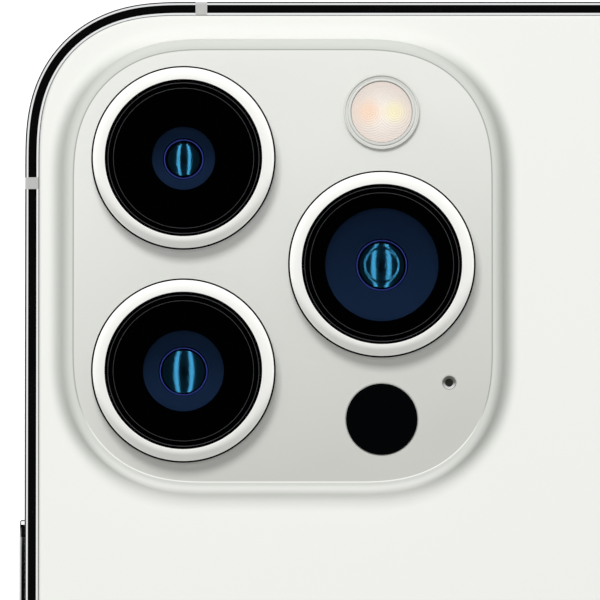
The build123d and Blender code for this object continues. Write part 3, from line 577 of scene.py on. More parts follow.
half_width, half_length = -box("band_left")[0].x, -box("band_bottom")[0].y
band_front, band_back = box("band_left")[0].z, box("band_left")[1].z
GLASS_INSET = half_width - box("front_glass")[1].x
print("half width, half length, band:", half_width, half_length, band_front, band_back)


def bezier(values, t):
    degree = len(values) - 1
    return sum(comb(degree, i) * (1 - t) ** (degree - i) * t ** i * v
               for i, v in enumerate(values))


def corner_offsets(corner, inset, t):
    """How far a corner's point is from the side (first) and from the end (second)."""
    reach = corner[0] - inset
    ease, turn = (value - CORNER_INSET_SHARE * inset for value in corner[1:])
    from_side = bezier((0, 0, 0, turn, ease, reach), t)
    from_end = bezier((reach, ease, turn, 0, 0, 0), t)
    return from_side, from_end


def outline(half_x, half_y, corner, inset, z, centre=(0, 0)):
    """One loop round the outline, counter-clockwise from above."""
    loop = []
    for sign_x, sign_y in ((1, 1), (-1, 1), (-1, -1), (1, -1)):
        for t in CORNER_TURNS if sign_x == sign_y else CORNER_TURNS[::-1]:
            from_side, from_end = corner_offsets(corner, inset, t)
            loop.append((centre[0] + sign_x * (half_x - inset - from_side),
                         centre[1] + sign_y * (half_y - inset - from_end), z))
    return loop


def body_loop(inset, z):
    return outline(half_width, half_length, BODY_CORNER, inset, z)


# %% [markdown]
# ## The steel band
# The band is one ring of steel cut into six lengths, so that they can work as aerials. It
# could be made by extruding the outline, but then its edges would be hard. Here its
# cross-section is swept along the outline instead: a flat side, a small rounding, a flat
# lip, a bright bevel where it meets the glass, and the ledges that the glass sits on.

# %% Band cross-section
EDGE_RADIUS = 0.29
BEVEL_WIDTH, BEVEL_DROP = 0.16, 0.058
BAND_SHARP = 15
BAND_WALL = half_width - box("mid_plate")[1].x
back_ledge = box("mid_plate")[1].z
front_ledge = box("display_gasket")[1].z
LIP_END = 1.1


def band_section():
    """The band's section as (inset, z), starting on the side and going over the back.
    Two points close to each end of the lip hold its shading flat."""
    high = [(EDGE_RADIUS * (1 - cos(radians(a))), band_back - EDGE_RADIUS
             + EDGE_RADIUS * sin(radians(a))) for a in range(0, 91, 9)]
    bevel_start = LIP_END - BEVEL_WIDTH
    high += [(EDGE_RADIUS + 0.015, band_back), (bevel_start - 0.01, band_back),
             (bevel_start, band_back), (LIP_END, band_back - BEVEL_DROP),
             (LIP_END, back_ledge), (BAND_WALL, back_ledge)]
    low = [(inset, band_front + band_back - z) for inset, z in high]
    low[-1], low[-2] = (BAND_WALL, front_ledge), (LIP_END, front_ledge)
    return high + low[::-1]


def on_side(sign, y):
    return lambda inset: (sign * (half_width - inset), y)


def on_end(sign, x):
    return lambda inset: (x, sign * (half_length - inset))


def round_corner(sign_x, sign_y, from_side_first=True):
    def at(t):
        def place(inset):
            side, end = corner_offsets(BODY_CORNER, inset, t)
            return (sign_x * (half_width - inset - side),
                    sign_y * (half_length - inset - end))
        return place
    return [at(t) for t in (CORNER_TURNS if from_side_first else CORNER_TURNS[::-1])]


def sweep_band(name, stations, finish):
    section = band_section()
    loops = [[(*place(inset), z) for inset, z in section] for place in stations]
    return make_piece(name, *stacked(loops), finish, sharp_degrees=BAND_SHARP)


# %% Six lengths of band, and the breaks between them
side_break = box("band_left")[1].y
end_break = abs(box("band_top")[0].x)
BREAK_WIDTH = box("band_top_left")[0].y - side_break
end_break_far = end_break + BREAK_WIDTH
SIDE_PARTS = 4


def mid_stations(sign, low, high):
    return [on_side(sign, low + (high - low) * i / SIDE_PARTS)
            for i in range(SIDE_PARTS + 1)]


BAND_LENGTHS = {
    "band_right": mid_stations(1, -side_break, side_break),
    "band_top": [on_side(1, side_break + BREAK_WIDTH), *round_corner(1, 1),
                 on_end(1, -end_break)],
    "band_top_left": [on_end(1, -end_break_far), *round_corner(-1, 1, False),
                      on_side(-1, side_break + BREAK_WIDTH)],
    "band_left": mid_stations(-1, side_break, -side_break),
    "band_bottom": [on_side(-1, -side_break - BREAK_WIDTH), *round_corner(-1, -1),
                    on_end(-1, end_break)],
    "band_bottom_right": [on_end(-1, end_break_far), *round_corner(1, -1, False),
                          on_side(1, -side_break - BREAK_WIDTH)],
}
BREAKS = [
    (on_side(1, side_break), on_side(1, side_break + BREAK_WIDTH)),
    (on_end(1, -end_break), on_end(1, -end_break_far)),
    (on_side(-1, side_break + BREAK_WIDTH), on_side(-1, side_break)),
    (on_side(-1, -side_break), on_side(-1, -side_break - BREAK_WIDTH)),
    (on_end(-1, end_break), on_end(-1, end_break_far)),
    (on_side(1, -side_break - BREAK_WIDTH), on_side(1, -side_break)),
]
band = {name: sweep_band(name + "_steel", stations, POLISHED_STEEL)
        for name, stations in BAND_LENGTHS.items()}
plastic = [sweep_band(f"break_{i}", pair, BREAK_RESIN) for i, pair in enumerate(BREAKS)]
stand_for(join("antenna_breaks_resin", plastic), "antenna_breaks", slot="break_plastic")

# %% [markdown]
# ## Openings in the band
# Each opening follows the piece that works in it, with a thin gap all round. A pill shape
# lying in the band's side does for every key, and the holes at the lower end are round.

# %% Pill shapes
mid_level = middle("side_button").z


def pill(length, width, inset=0.0):
    """A pill as (along, across) points. The inset shrinks it evenly."""
    radius = width / 2 - inset
    half_straight = (length - width) / 2
    steps = 16
    points = []
    for end, start in ((1, -90), (-1, 90)):
        for k in range(steps + 1):
            angle = radians(start + 180 * k / steps)
            points.append((end * half_straight + radius * cos(angle),
                           radius * sin(angle)))
    return points


def side_bar(name, side, y, z, length, width, stops, finish):
    """A pill-shaped bar that lies across the band. stops are (x, inset) pairs."""
    loops = [[(side * x, y + u, z + v) for u, v in pill(length, width, inset)]
             for x, inset in stops]
    return make_piece(name, *stacked(loops), finish, sharp_degrees=30)


def end_bar(name, x, z, length, width, stops, finish):
    """The same, across the lower end of the phone. stops are (y, inset) pairs."""
    loops = [[(x + u, y, z + v) for u, v in pill(length, width, inset)]
             for y, inset in stops]
    return make_piece(name, *stacked(loops), finish, sharp_degrees=30)


def end_cutter(x, length, width, depth):
    """A pill cut into the lower end, from 1 mm outside it to that depth."""
    return end_bar("cutter", x, mid_level, length, width,
                   [(-half_length - 1, 0), (-half_length + depth, 0)], [])


def end_hole(x, radius, depth):
    """A round hole: a pill with next to no straight part."""
    return end_cutter(x, 2 * radius, 2 * radius - 1e-4, depth)


# %% Cut them
KEY_GAP, FACE_GAP = 0.06, 0.1
FLANGE_REACH = 1.0
LEVER_SLOT = (6.4, 2.8)
TRAY_FACE_DEPTH, TRAY_FACE_WIDTH = 1.2, 2.4
inner_x = half_width - BAND_WALL


def side_cutter(side, y, length, width, x_from):
    return side_bar("cutter", side, y, mid_level, length, width,
                    [(x_from, 0), (half_width + 1, 0)], [])


def keyway(node, side):
    """A slot for the key's bar. The key's box is longer, by its hidden flange."""
    length, width = (LEVER_SLOT if "lever" in node
                     else (size(node).y - FLANGE_REACH, size(node).z))
    return side_cutter(side, middle(node).y, length + 2 * KEY_GAP, width + 2 * KEY_GAP,
                       inner_x - 1)


tray_y, tray_length = middle("sim_tray").y, size("sim_tray").y
cut(band["band_left"], [keyway("side_button", -1)], BAND_SHARP)
cut(band["band_right"], [
    keyway("volume_up_button", 1), keyway("volume_down_button", 1),
    keyway("ring_switch_lever", 1),
    side_cutter(1, tray_y, tray_length + FACE_GAP, TRAY_FACE_WIDTH + FACE_GAP,
                half_width - TRAY_FACE_DEPTH),
], BAND_SHARP)
PORT_WIDTH, PORT_HEIGHT, PORT_DEPTH = 8.94, 3.16, 3.0
SCREW_X, SCREW_RADIUS, SCREW_DEPTH = (-6.9, 6.9), 1.0, 0.85
GRILLE_RADIUS, GRILLE_START, GRILLE_PITCH = 0.6, 10.0, 2.4
grille = [side * (GRILLE_START + GRILLE_PITCH * n)
          for side, holes in ((-1, 6), (1, 4)) for n in range(holes)]
lower_cuts = [end_cutter(0, PORT_WIDTH + FACE_GAP, PORT_HEIGHT + FACE_GAP, PORT_DEPTH)]
lower_cuts += [end_hole(x, SCREW_RADIUS, SCREW_DEPTH) for x in SCREW_X]
lower_cuts += [end_hole(x, GRILLE_RADIUS, PORT_DEPTH) for x in grille]
cut(band["band_bottom"], lower_cuts, BAND_SHARP)
for name, piece in band.items():
    darken_roundings(piece)
    stand_for(piece, name, slot="polished_steel")

# %% [markdown]
# ## The back glass and its plateau
# On the real phone the sheet and the plateau are one piece of glass, cut from a thick
# blank. The plateau's edge is an S in section: a rounded shoulder, then a hollow foot of
# a wider radius. A bevel or a plain fillet would miss that double curve, so the edge is
# a stack of outlines that follow the two arcs.

# %% Sheet and plateau
FOOT_SPREAD, PLATEAU_RISE = 2.3, 1.6
PLATEAU_WIDTH, PLATEAU_LENGTH = 34.38, 35.56
plateau_centre = ((middle("tele_lens_ring").x + middle("ultrawide_lens_ring").x) / 2,
                  middle("ultrawide_lens_ring").y)
plateau_half = (PLATEAU_WIDTH / 2, PLATEAU_LENGTH / 2)
print("plateau centre", [round(c, 2) for c in plateau_centre])
plateau_top = box("lidar_window")[1].z
sheet_top = plateau_top - PLATEAU_RISE
GROUND_WIDTH, GROUND_DROP = 0.1, 0.018
SHOULDER_SHARE = 0.38
slope_angle = 2 * atan(PLATEAU_RISE / FOOT_SPREAD)
arc_sum = PLATEAU_RISE / (1 - cos(slope_angle))
shoulder_radius, foot_radius = SHOULDER_SHARE * arc_sum, (1 - SHOULDER_SHARE) * arc_sum


def plateau_loop(offset, z):
    return outline(*plateau_half, PLATEAU_CORNER, -offset, z, plateau_centre)


def plateau_edge():
    """(offset, z) down the S, from the flat top to the sheet."""
    shoulder, foot, steps = [], [], 14
    for k in range(steps + 1):
        a = slope_angle * k / steps
        shoulder.append((shoulder_radius * sin(a),
                         plateau_top - shoulder_radius * (1 - cos(a))))
        foot.append((FOOT_SPREAD - foot_radius * sin(a),
                     sheet_top + foot_radius * (1 - cos(a))))
    return shoulder + foot[-2::-1]


def sheet_edge(soft, drop):
    """(inset, z) over a sheet's softened edge, from the flat part outwards."""
    points, steps = [], 8
    for k in range(steps + 1):
        a = pi / 2 * k / steps
        points.append((GLASS_INSET + soft * (1 - sin(a)),
                       sheet_top - drop * (1 - cos(a))))
    return points


def back_sheet():
    """The sheet with its plateau. The ground edge is a narrow bevel round the flat top,
    and two loops lie close together at each change, to keep the flat parts flat."""
    soft = 0.38
    loops = [plateau_loop(-GROUND_WIDTH, plateau_top)]
    loops += [plateau_loop(offset, min(z, plateau_top - GROUND_DROP))
              for offset, z in plateau_edge()]
    loops += [plateau_loop(FOOT_SPREAD + 0.02, sheet_top),
              body_loop(GLASS_INSET + soft + 0.01, sheet_top)]
    loops += [body_loop(inset, z) for inset, z in sheet_edge(soft, 0.16)]
    loops += [body_loop(GLASS_INSET, back_ledge)]
    finishes = [ETCHED_GLASS, PLATEAU_GLASS, GROUND_EDGE, SHOULDER_GLASS]
    etched, polished, ground, shoulder = range(len(finishes))
    sheet = make_piece("back_glass_sheet", *stacked(loops), finishes, sharp_degrees=35)
    top = plateau_top - 1e-3
    steepest = top - shoulder_radius * (1 - cos(slope_angle))
    for face in sheet.data.polygons:
        heights = [sheet.data.vertices[v].co.z / MM for v in face.vertices]
        lowest, highest = min(heights), max(heights)
        if highest > top:
            face.material_index = polished if lowest > top else ground
        elif lowest > steepest:
            face.material_index = shoulder
        else:
            face.material_index = etched
    return sheet


CAMERAS = ("tele", "wide", "ultrawide")


def spot(node):
    return (middle(node).x, middle(node).y)


flash_at, lidar_at = spot("flash_lens"), spot("lidar_window")
MIC_RADIUS, MIC_FROM_LEFT, MIC_FROM_TOP = 0.57, 34.75, 31.4
mic_at = (MIC_FROM_LEFT - half_width, half_length - MIC_FROM_TOP)
NECK_INSET, NECK_GAP = 0.34, 0.05
FLASH_HOLE, WINDOW_HOLE, WINDOW_DEPTH = 2.85, 2.99, 0.6
THROUGH = (0, 20)     # from below the phone to above it
sheet = back_sheet()
holes = [cylinder_cutter(spot(node), size(node).x / 2 - NECK_INSET + NECK_GAP, *THROUGH)
         for node in (f"{camera}_lens_ring" for camera in CAMERAS)]
holes += [cylinder_cutter(flash_at, FLASH_HOLE, *THROUGH, 96),
          cylinder_cutter(lidar_at, WINDOW_HOLE, plateau_top - WINDOW_DEPTH, 20, 128),
          cylinder_cutter(mic_at, MIC_RADIUS + 0.02, *THROUGH, 64)]
cut(sheet, holes)
stand_for(sheet, "back_glass", slot="white_glass")
print("plateau edge, steepest part in degrees:", round(degrees(slope_angle), 1))

# %% [markdown]
# ## Lens rings
# A ring is turned from steel on a lathe: a neck through the glass, a tall wall, a tight
# rounding, and a top face that is blasted to a satin white. The face falls very slightly
# outwards, and it is painted a touch greyer where it falls towards the lower end, as
# painted shade. The tight rounding is painted near black, as painted dark reflection. The
# wall stays polished, and from above it shows as a thin dark line.

# %% Rings
RING_WALL, RING_SEAT, RING_FALL = 1.13, 0.56, 0.06
RING_EDGE, SMALL_EDGE = 0.2, 0.05


def lens_ring(camera):
    node = f"{camera}_lens_ring"
    low, high = box(node)
    outer, top = size(node).x / 2, high.z
    seat, neck = outer - RING_WALL, outer - NECK_INSET
    bore, neck_level = seat - RING_SEAT, low.z + 0.2
    seat_level = box(f"{camera}_lens_cover")[0].z
    profile = [(bore, neck_level), (neck, neck_level), (neck, plateau_top),
               (outer - SMALL_EDGE, plateau_top), (outer, plateau_top + SMALL_EDGE)]
    profile += arc((outer - RING_EDGE, top - RING_FALL - RING_EDGE), RING_EDGE, 0, 84, 8)
    profile += [(outer - 0.5, top - RING_FALL * 0.45), (seat + SMALL_EDGE, top)]
    profile += arc((seat + SMALL_EDGE, top - SMALL_EDGE), SMALL_EDGE, 96, 180, 4)
    profile += [(seat, seat_level), (bore, seat_level)]
    finishes = [RING_TOP_STEEL, PAINTED_DARK_EDGE_STEEL, DEEP_BLACK, POLISHED_STEEL]
    satin, painted_dark_outline, inside_black, wall = range(len(finishes))
    ring = turned(f"{camera}_ring_steel", profile, spot(node), finishes, count=192)

    def finish(reach, face):
        if reach < seat + 0.02:
            return inside_black
        if abs(face.normal.z) < 0.2:
            return wall
        # The outer rounding is painted near black, as painted dark reflection.
        return painted_dark_outline if reach > outer - 0.15 else satin
    paint(ring, spot(node), finish)
    return stand_for(ring, node, slot="ring_steel")


rings = [lens_ring(camera) for camera in CAMERAS]

# %% [markdown]
# ## Cover glasses and masks
# Each cover is a thin disc with a fine polished chamfer, which draws the bright arcs near
# its edge. Under it lies a black mask in two steps, open only over the lens. Two grey
# hairlines are painted on the steps, as painted highlights.

# %% Covers and masks
COVER_EDGE = 0.09
OPENINGS = {"tele": 2.58, "wide": 3.30, "ultrawide": 4.63}


def lens_cover(camera):
    node = f"{camera}_lens_cover"
    low, high = box(node)
    radius = size(node).x / 2
    profile = [(0, low.z + 0.15), (radius - 0.02, low.z + 0.15), (radius, low.z + 0.18),
               (radius, high.z - COVER_EDGE)]
    profile += arc((radius - COVER_EDGE, high.z - COVER_EDGE), COVER_EDGE, 0, 90, 6)
    profile += [(0, high.z)]
    cover = turned(f"{camera}_cover_glass", profile, spot(node), COVER_GLASS,
                   count=192, wrap=False)
    return stand_for(cover, node, slot="clear_glass")


def lens_mask(camera):
    node = f"{camera}_lens_mask"
    low, high = box(node)
    rim = size(f"{camera}_lens_cover").x / 2
    opening = OPENINGS[camera]
    outer_line, inner_line = (rim - 0.25, rim - 0.19), (rim - 0.68, rim - 0.63)
    profile = [(opening, low.z), (rim - 0.6, low.z), (rim - 0.6, high.z),
               (rim - 0.01, high.z), (rim - 0.01, high.z + 0.12),
               (outer_line[1], high.z + 0.12), (outer_line[0], high.z + 0.07),
               (inner_line[1], high.z + 0.05), (inner_line[0], high.z),
               (opening + 0.05, high.z - 0.05), (opening, high.z - 0.08)]
    mask = turned(f"{camera}_black_mask", profile, spot(node), [DEEP_BLACK, HAIRLINE_PAINTED_HIGHLIGHT],
                  count=192)
    # Painted highlights: the upward faces between these radii are painted grey.
    hairlines = (outer_line, inner_line)
    paint(mask, spot(node), lambda reach, face: int(
        face.normal.z > 0 and any(a < reach < b for a, b in hairlines)))
    return stand_for(mask, node, slot="black_plastic")


for camera in CAMERAS:
    lens_cover(camera)
    lens_mask(camera)

# %% [markdown]
# ## Barrels and front elements
# Under the mask sits the focusing barrel, whose shallow dish looks dark blue because the
# coated glass in it reflects only a little blue. The blue is painted a shade lighter where
# the dish faces the upper end of the phone, as painted reflection. The front element is a
# small dome. It bends the reflection of each long light over the table into a bright bar.
# A violet rim rings the dome, where the coating is seen at a slant.

# %% Barrels and lenses
LENS_RADII = {"tele": 1.64, "wide": 1.97, "ultrawide": 2.09}
DISH_EDGE, DISH_DROP = 0.1, 0.22


def lens_barrel(camera):
    node = f"{camera}_lens_barrel"
    low, high = box(node)
    lens, opening, outer = LENS_RADII[camera], OPENINGS[camera], size(node).x / 2
    dish_outer, dish_inner = min(opening + 0.2, outer - 0.15), lens + 0.06
    profile = [(outer, low.z), (outer, high.z - 0.05), (outer - 0.05, high.z),
               (dish_outer, high.z)]
    steps = 6
    for k in range(steps + 1):
        share = k / steps
        r = dish_outer - 0.02 + (dish_inner - dish_outer + 0.02) * share
        profile.append((r, high.z - DISH_EDGE - DISH_DROP * share ** 0.7))
    bore, shelf = lens - 0.3, high.z - 1.3
    profile += [(lens + 0.05, high.z - 0.4), (lens + 0.03, high.z - 0.42),
                (lens + 0.03, shelf), (bore, shelf), (bore, low.z)]
    barrel = turned(f"{camera}_focus_barrel", profile, spot(node),
                    [DEEP_BLACK, LENS_FIELD], count=128)
    paint(barrel, spot(node), lambda reach, face: int(
        dish_inner < reach < dish_outer - 0.01 and face.normal.z > 0.3))
    return stand_for(barrel, node, slot="black_plastic")


# How steep the wide-angle element is, in degrees, at each radius in millimetres. It is a
# dome with two fine grooves in it, so it shows a second pair of reflections.
ULTRAWIDE_SLOPES = [(0, 0), (0.28, 4.2), (0.32, 10), (0.38, 1), (0.42, 6.3),
                    (1.28, 19.7), (1.34, 6), (1.42, 6.5), (1.5, 23.2), (2.09, 33)]
DOME_STEPS, DOME_HEIGHT, DOME_SINK = 60, 0.55, 0.12
VIOLET_WIDTH = 0.11


def slope_at(r):
    for (r0, a0), (r1, a1) in zip(ULTRAWIDE_SLOPES, ULTRAWIDE_SLOPES[1:]):
        if r <= r1:
            return a0 + (a1 - a0) * (r - r0) / (r1 - r0)
    return ULTRAWIDE_SLOPES[-1][1]


def dome_drop(camera, r):
    """Height of the front element below its top, at radius r."""
    if camera == "ultrawide":
        return sum(tan(radians(slope_at(r * (k + 0.5) / DOME_STEPS))) * r / DOME_STEPS
                   for k in range(DOME_STEPS))
    ball = (LENS_RADII[camera] ** 2 + DOME_HEIGHT ** 2) / (2 * DOME_HEIGHT)
    return ball - sqrt(ball ** 2 - r ** 2)


def front_lens(camera):
    node = f"{camera}_front_lens"
    bottom, lens = box(node)[0].z, LENS_RADII[camera]
    dome_top = box(f"{camera}_lens_barrel")[1].z - DOME_SINK
    profile = [(0, bottom), (lens, bottom), (lens, bottom + 0.3)]
    for k in range(DOME_STEPS, -1, -1):
        r = min(lens * k / DOME_STEPS, lens - 0.01)
        profile.append((r, dome_top - dome_drop(camera, r)))
    element = turned(f"{camera}_front_element", profile, spot(node),
                     [LENS_DOME, LENS_RIM, DEEP_BLACK], count=256, wrap=False)
    paint(element, spot(node), lambda reach, face: 2 if face.normal.z < 0.2 else int(
        reach > lens - VIOLET_WIDTH))
    return stand_for(element, node, slot="lens_glass")


front_lenses = []
for camera in CAMERAS:
    lens_barrel(camera)
    front_lenses.append(front_lens(camera))

# %% [markdown]
# ## Flash
# The flash is a clear ring round a Fresnel lens. Fine grooves run round each of its two
# light chips, one warm and one cool. The grooves are real geometry: the height of each
# point of the disc is the height of a saw-tooth round the nearer chip. Real grooves are
# finer, so these are drawn 0.2 mm apart, to show.

# %% Flash materials
FLASH_CHIP = 1.07
CREAM = "#e9ddd4"
CHIP_TINTS = [(0.0, "#fffaf2", 2.5), (-FLASH_CHIP, "#ffdcc0", 1.6),
              (FLASH_CHIP, "#fdf3c8", 1.4)]


def clear_polycarbonate():
    material = surface("clear_polycarbonate", "#dcddd8", Roughness=0.12, IOR=1.58,
                       Coat_Weight=0.5, Coat_Roughness=0.05)[0]
    return tint_by_normal(material, "y", -0.6, 0.0, "#a9aba5", "#dcddd8")


def fresnel_polycarbonate():
    """Cream where the phosphor shows, orange over one chip and yellow over the other.
    CHIP_TINTS are (place across the lens, colour, reach) in millimetres."""
    material, tree, shader = surface("fresnel_polycarbonate", "#e3d4ca", Roughness=0.2,
                                     IOR=1.58, Specular_IOR_Level=0.4)
    place = add(tree, "ShaderNodeTexCoord")
    colour = None
    for offset, tone, reach in CHIP_TINTS:
        here = (flash_at[0] * MM + offset * MM, flash_at[1] * MM,
                box("flash_lens")[1].z * MM)
        away = add(tree, "ShaderNodeVectorMath", {1: here},
                   {0: place.outputs["Object"]}, operation="DISTANCE")
        share = add(tree, "ShaderNodeMapRange",
                    {"From Min": 0.1 * MM, "From Max": reach * MM, "To Min": 0.8,
                     "To Max": 0.0}, {"Value": away.outputs["Value"]},
                    interpolation_type="SMOOTHSTEP")
        links = {SHARE: share.outputs["Result"]}
        if colour:
            links[COLOUR_A] = colour
        blend = add(tree, "ShaderNodeMix",
                    {COLOUR_A: linear(CREAM), COLOUR_B: linear(tone)}, links,
                    data_type="RGBA")
        colour = blend.outputs[MIXED]
    tree.links.new(colour, shader.inputs["Base Color"])
    return material


# Clear polycarbonate, moulded and glossy: nearly white over the pale parts under it, and
# painted greyer where it faces the lower end, as painted shade.
CLEAR_RING = clear_polycarbonate()
# The same resin, moulded with grooves: a soft cream disc with a warm and a cool half.
FRESNEL = fresnel_polycarbonate()

# %% Flash geometry
GROOVE_PITCH, GROOVE_DEPTH = 0.2, 0.05
GROOVE_RINGS, GROOVE_SPOKES = 110, 220


def flash_bezel():
    """A ring with a shallow groove in its top, between a narrow rim and a rounded lip."""
    low, high = box("flash_bezel")
    outer = size("flash_bezel").x / 2
    inner = size("flash_lens").x / 2
    neck, bottom, top, edge = outer - 0.3, low.z + 0.3, high.z, 0.09
    profile = [(inner + 0.02, bottom), (neck, bottom), (neck, plateau_top),
               (outer - 0.03, plateau_top), (outer, plateau_top + 0.03)]
    profile += arc((outer - edge, top - edge), edge, 0, 90, 6)
    profile += [(outer - 0.13, top - 0.01), (outer - 0.17, top - 0.16),
                (outer - 0.33, top - 0.19), (outer - 0.37, top - 0.05)]
    profile += arc((inner + 0.1, top - 0.1), 0.08, 80, 180, 6)
    bezel = turned("flash_clear_ring", profile, flash_at, CLEAR_RING, count=128)
    return stand_for(bezel, "flash_bezel", slot="diffuser")


def groove_height(x, y):
    """Saw-tooth grooves round the nearer chip."""
    away = min(sqrt((x - c) ** 2 + y ** 2) for c in (-FLASH_CHIP, FLASH_CHIP))
    return GROOVE_DEPTH * (away / GROOVE_PITCH % 1.0)


def flash_lens():
    low, high = box("flash_lens")
    radius = size("flash_lens").x / 2 - 0.01
    loops = []
    for i in range(GROOVE_RINGS + 1):
        flat = circle(radius * max(i, 0.2) / GROOVE_RINGS, high.z - 0.02,
                      count=GROOVE_SPOKES)
        loops.append([(flash_at[0] + x, flash_at[1] + y, z + groove_height(x, y))
                      for x, y, z in flat])
    loops.append(circle(radius, low.z, flash_at, GROOVE_SPOKES))
    lens = make_piece("flash_fresnel_lens", *stacked(loops), FRESNEL, sharp_degrees=60)
    return stand_for(lens, "flash_lens", slot="diffuser")


flash_bezel()
flash_lens()

# %% [markdown]
# ## Range finder and microphone
# The range finder hides behind a black window that lies flush in the plateau, with a
# ground edge that shows as a pale hairline, painted greyer where it faces the lower end as
# painted shade. The microphone is a small steel eyelet: its throat is dark, its lower
# flank is painted light and its upper flank painted shade.

# %% Window and eyelet
def lidar_window():
    low, high = box("lidar_window")
    radius = size("lidar_window").x / 2
    edge = 0.03
    profile = [(0, low.z), (radius, low.z), (radius, high.z - edge),
               (radius - edge, high.z), (radius - edge - 0.005, high.z), (0, high.z)]
    window = turned("range_finder_window", profile, lidar_at, [BLACK_GLASS, CLEAR_RING],
                    count=160, wrap=False, sharp_degrees=20)
    paint(window, lidar_at, lambda reach, face: int(reach > radius - edge - 0.002))
    return stand_for(window, "lidar_window", slot="black_glass")


def microphone_eyelet():
    top, throat = box("rear_microphone")[1].z, 0.33
    eyelet = [(throat, top - 0.6), (throat, top - 0.5), (throat + 0.03, top - 0.45),
              (MIC_RADIUS - 0.05, top - 0.02), (MIC_RADIUS - 0.02, top),
              (MIC_RADIUS, top - 0.02), (MIC_RADIUS, top - 0.6)]
    ring = turned("eyelet", eyelet, mic_at, EYELET, count=64)
    floor = [(0, top - 0.65), (MIC_RADIUS, top - 0.65), (MIC_RADIUS, top - 0.58),
             (0, top - 0.58)]
    throat_floor = turned("throat", floor, mic_at, THROAT_GREY, count=64, wrap=False)
    return stand_for(join("microphone_eyelet", [ring, throat_floor]),
                     "rear_microphone", slot="black_plastic")


lidar_window()
microphone_eyelet()

# %% [markdown]
# ## Side keys, ring switch and card tray
# The keys are bars of the same polished steel with a tight rounding round the face. The
# gap round each one reads as a dark line. They ride on their own bodies, so they sink
# into the band when pressed. The tray is one frame of steel behind a polished face that
# sits flush in the band.

# %% Keys
def rounded_stops(x_in, x_out, radius, steps=6):
    """(x, inset) stops of a bar whose outer edge is rounded."""
    stops = [(x_in, 0.0)]
    for k in range(steps + 1):
        a = pi / 2 * k / steps
        stops.append((x_out - radius + radius * sin(a), radius * (1 - cos(a))))
    return stops


KEY_LENGTHS = {"side_button": 17.4, "volume_up_button": 9.9, "volume_down_button": 9.9}
KEY_WIDTH, KEY_STANDS_OUT, LEVER_STANDS_OUT = 2.9, 0.45, 0.35


def finish_key_ends(key):
    """Seen from the back, a key's end has a painted dark outline, then a bright patch where
    it mirrors the room, and then it is painted dark like the long side, as painted dark
    reflection."""
    key.data.materials.append(PAINTED_DARK_EDGE_STEEL)
    dark = len(key.data.materials) - 1
    for face in key.data.polygons:
        lean = abs(face.normal.y)
        if abs(face.normal.z) > 0.01 and abs(face.normal.x) < 0.3 and lean > 0.05:
            face.material_index = 0 if 0.7 < lean < 0.93 else dark


def side_key(node, side):
    """A rounded bar in the keyway, on the wider flange that holds it in the band."""
    y, reach = middle(node).y, size(node)
    bar = side_bar(f"{node}_bar", side, y, mid_level, KEY_LENGTHS[node], KEY_WIDTH,
                   rounded_stops(inner_x - 0.2, half_width + KEY_STANDS_OUT, 0.12),
                   POLISHED_STEEL)
    flange = side_bar("flange", side, y, mid_level, reach.y, reach.z,
                      [(inner_x - 0.45, 0.05), (inner_x - 0.4, 0), (inner_x - 0.03, 0)],
                      POLISHED_STEEL)
    key = join(f"{node}_steel", [bar, flange])
    darken_roundings(key)
    finish_key_ends(key)
    return stand_for(key, node, slot="polished_steel")


def switch_lever():
    """A steel lever on a resin slider, at the level where the slide starts."""
    node = "ring_switch_lever"
    y, z = middle(node).y, middle(node).z
    lever = side_bar("lever", 1, y, z, 5.2, 1.6,
                     rounded_stops(inner_x - 0.2, half_width + LEVER_STANDS_OUT, 0.2),
                     POLISHED_STEEL)
    slider = side_bar("slider", 1, y, z, size(node).y, 1.8,
                      [(inner_x - 0.42, 0), (inner_x - 0.02, 0)], BLACK_RESIN)
    switch = join("ring_switch_steel", [lever, slider])
    darken_roundings(switch)
    return stand_for(switch, node, slot="polished_steel")


# %% Card tray
CARD_HALF_WIDTH, RAIL_WIDTH, RAIL_HALF_HEIGHT = 4.45, 0.75, 0.47
CARD_OFFSET, EJECT_OFFSET = -1.7, 5.9
CARD_BACK_WALL, CARD_BED_END = 0.8, 13.2


def rail(xs, ys):
    """A steel rail with small bevels, as machined pieces have."""
    bevel, loops = 0.06, []
    bottom, top = mid_level - RAIL_HALF_HEIGHT, mid_level + RAIL_HALF_HEIGHT
    for z, shrink in ((bottom, bevel), (bottom + bevel, 0), (top - bevel, 0),
                      (top, bevel)):
        x0, x1 = xs[0] + shrink, xs[1] - shrink
        y0, y1 = ys[0] + shrink, ys[1] - shrink
        loops.append([(x1, y0, z), (x1, y1, z), (x0, y1, z), (x0, y0, z)])
    return make_piece("rail", *stacked(loops), POLISHED_STEEL, sharp_degrees=30)


def card_tray():
    """The face with its eject hole, and four rails round the bed of the card."""
    node = "sim_tray"
    back, front = box(node)[0].x, half_width - TRAY_FACE_DEPTH
    face = side_bar("tray_face", 1, tray_y, mid_level, tray_length, TRAY_FACE_WIDTH,
                    rounded_stops(front, half_width, 0.08, 4), POLISHED_STEEL)
    cut(face, [side_cutter(1, tray_y + EJECT_OFFSET, 0.9, 0.8999, half_width - 2)])
    bed_y = tray_y + CARD_OFFSET
    bed = (bed_y - CARD_HALF_WIDTH, bed_y + CARD_HALF_WIDTH)
    rails = [rail((back, front), (bed[0] - RAIL_WIDTH, bed[0])),
             rail((back, front), (bed[1], bed[1] + RAIL_WIDTH)),
             rail((back, back + CARD_BACK_WALL), bed),
             rail((back + CARD_BED_END, front), bed)]
    return stand_for(join("card_tray_steel", [face, *rails]), node, slot="polished_steel")


side_key("side_button", -1)
side_key("volume_up_button", 1)
side_key("volume_down_button", 1)
switch_lever()
card_tray()

# %% [markdown]
# ## Front glass
# The display's cover is black until it lights up. It has the same softened edge as the
# back, and a slot for the earpiece near its top edge.

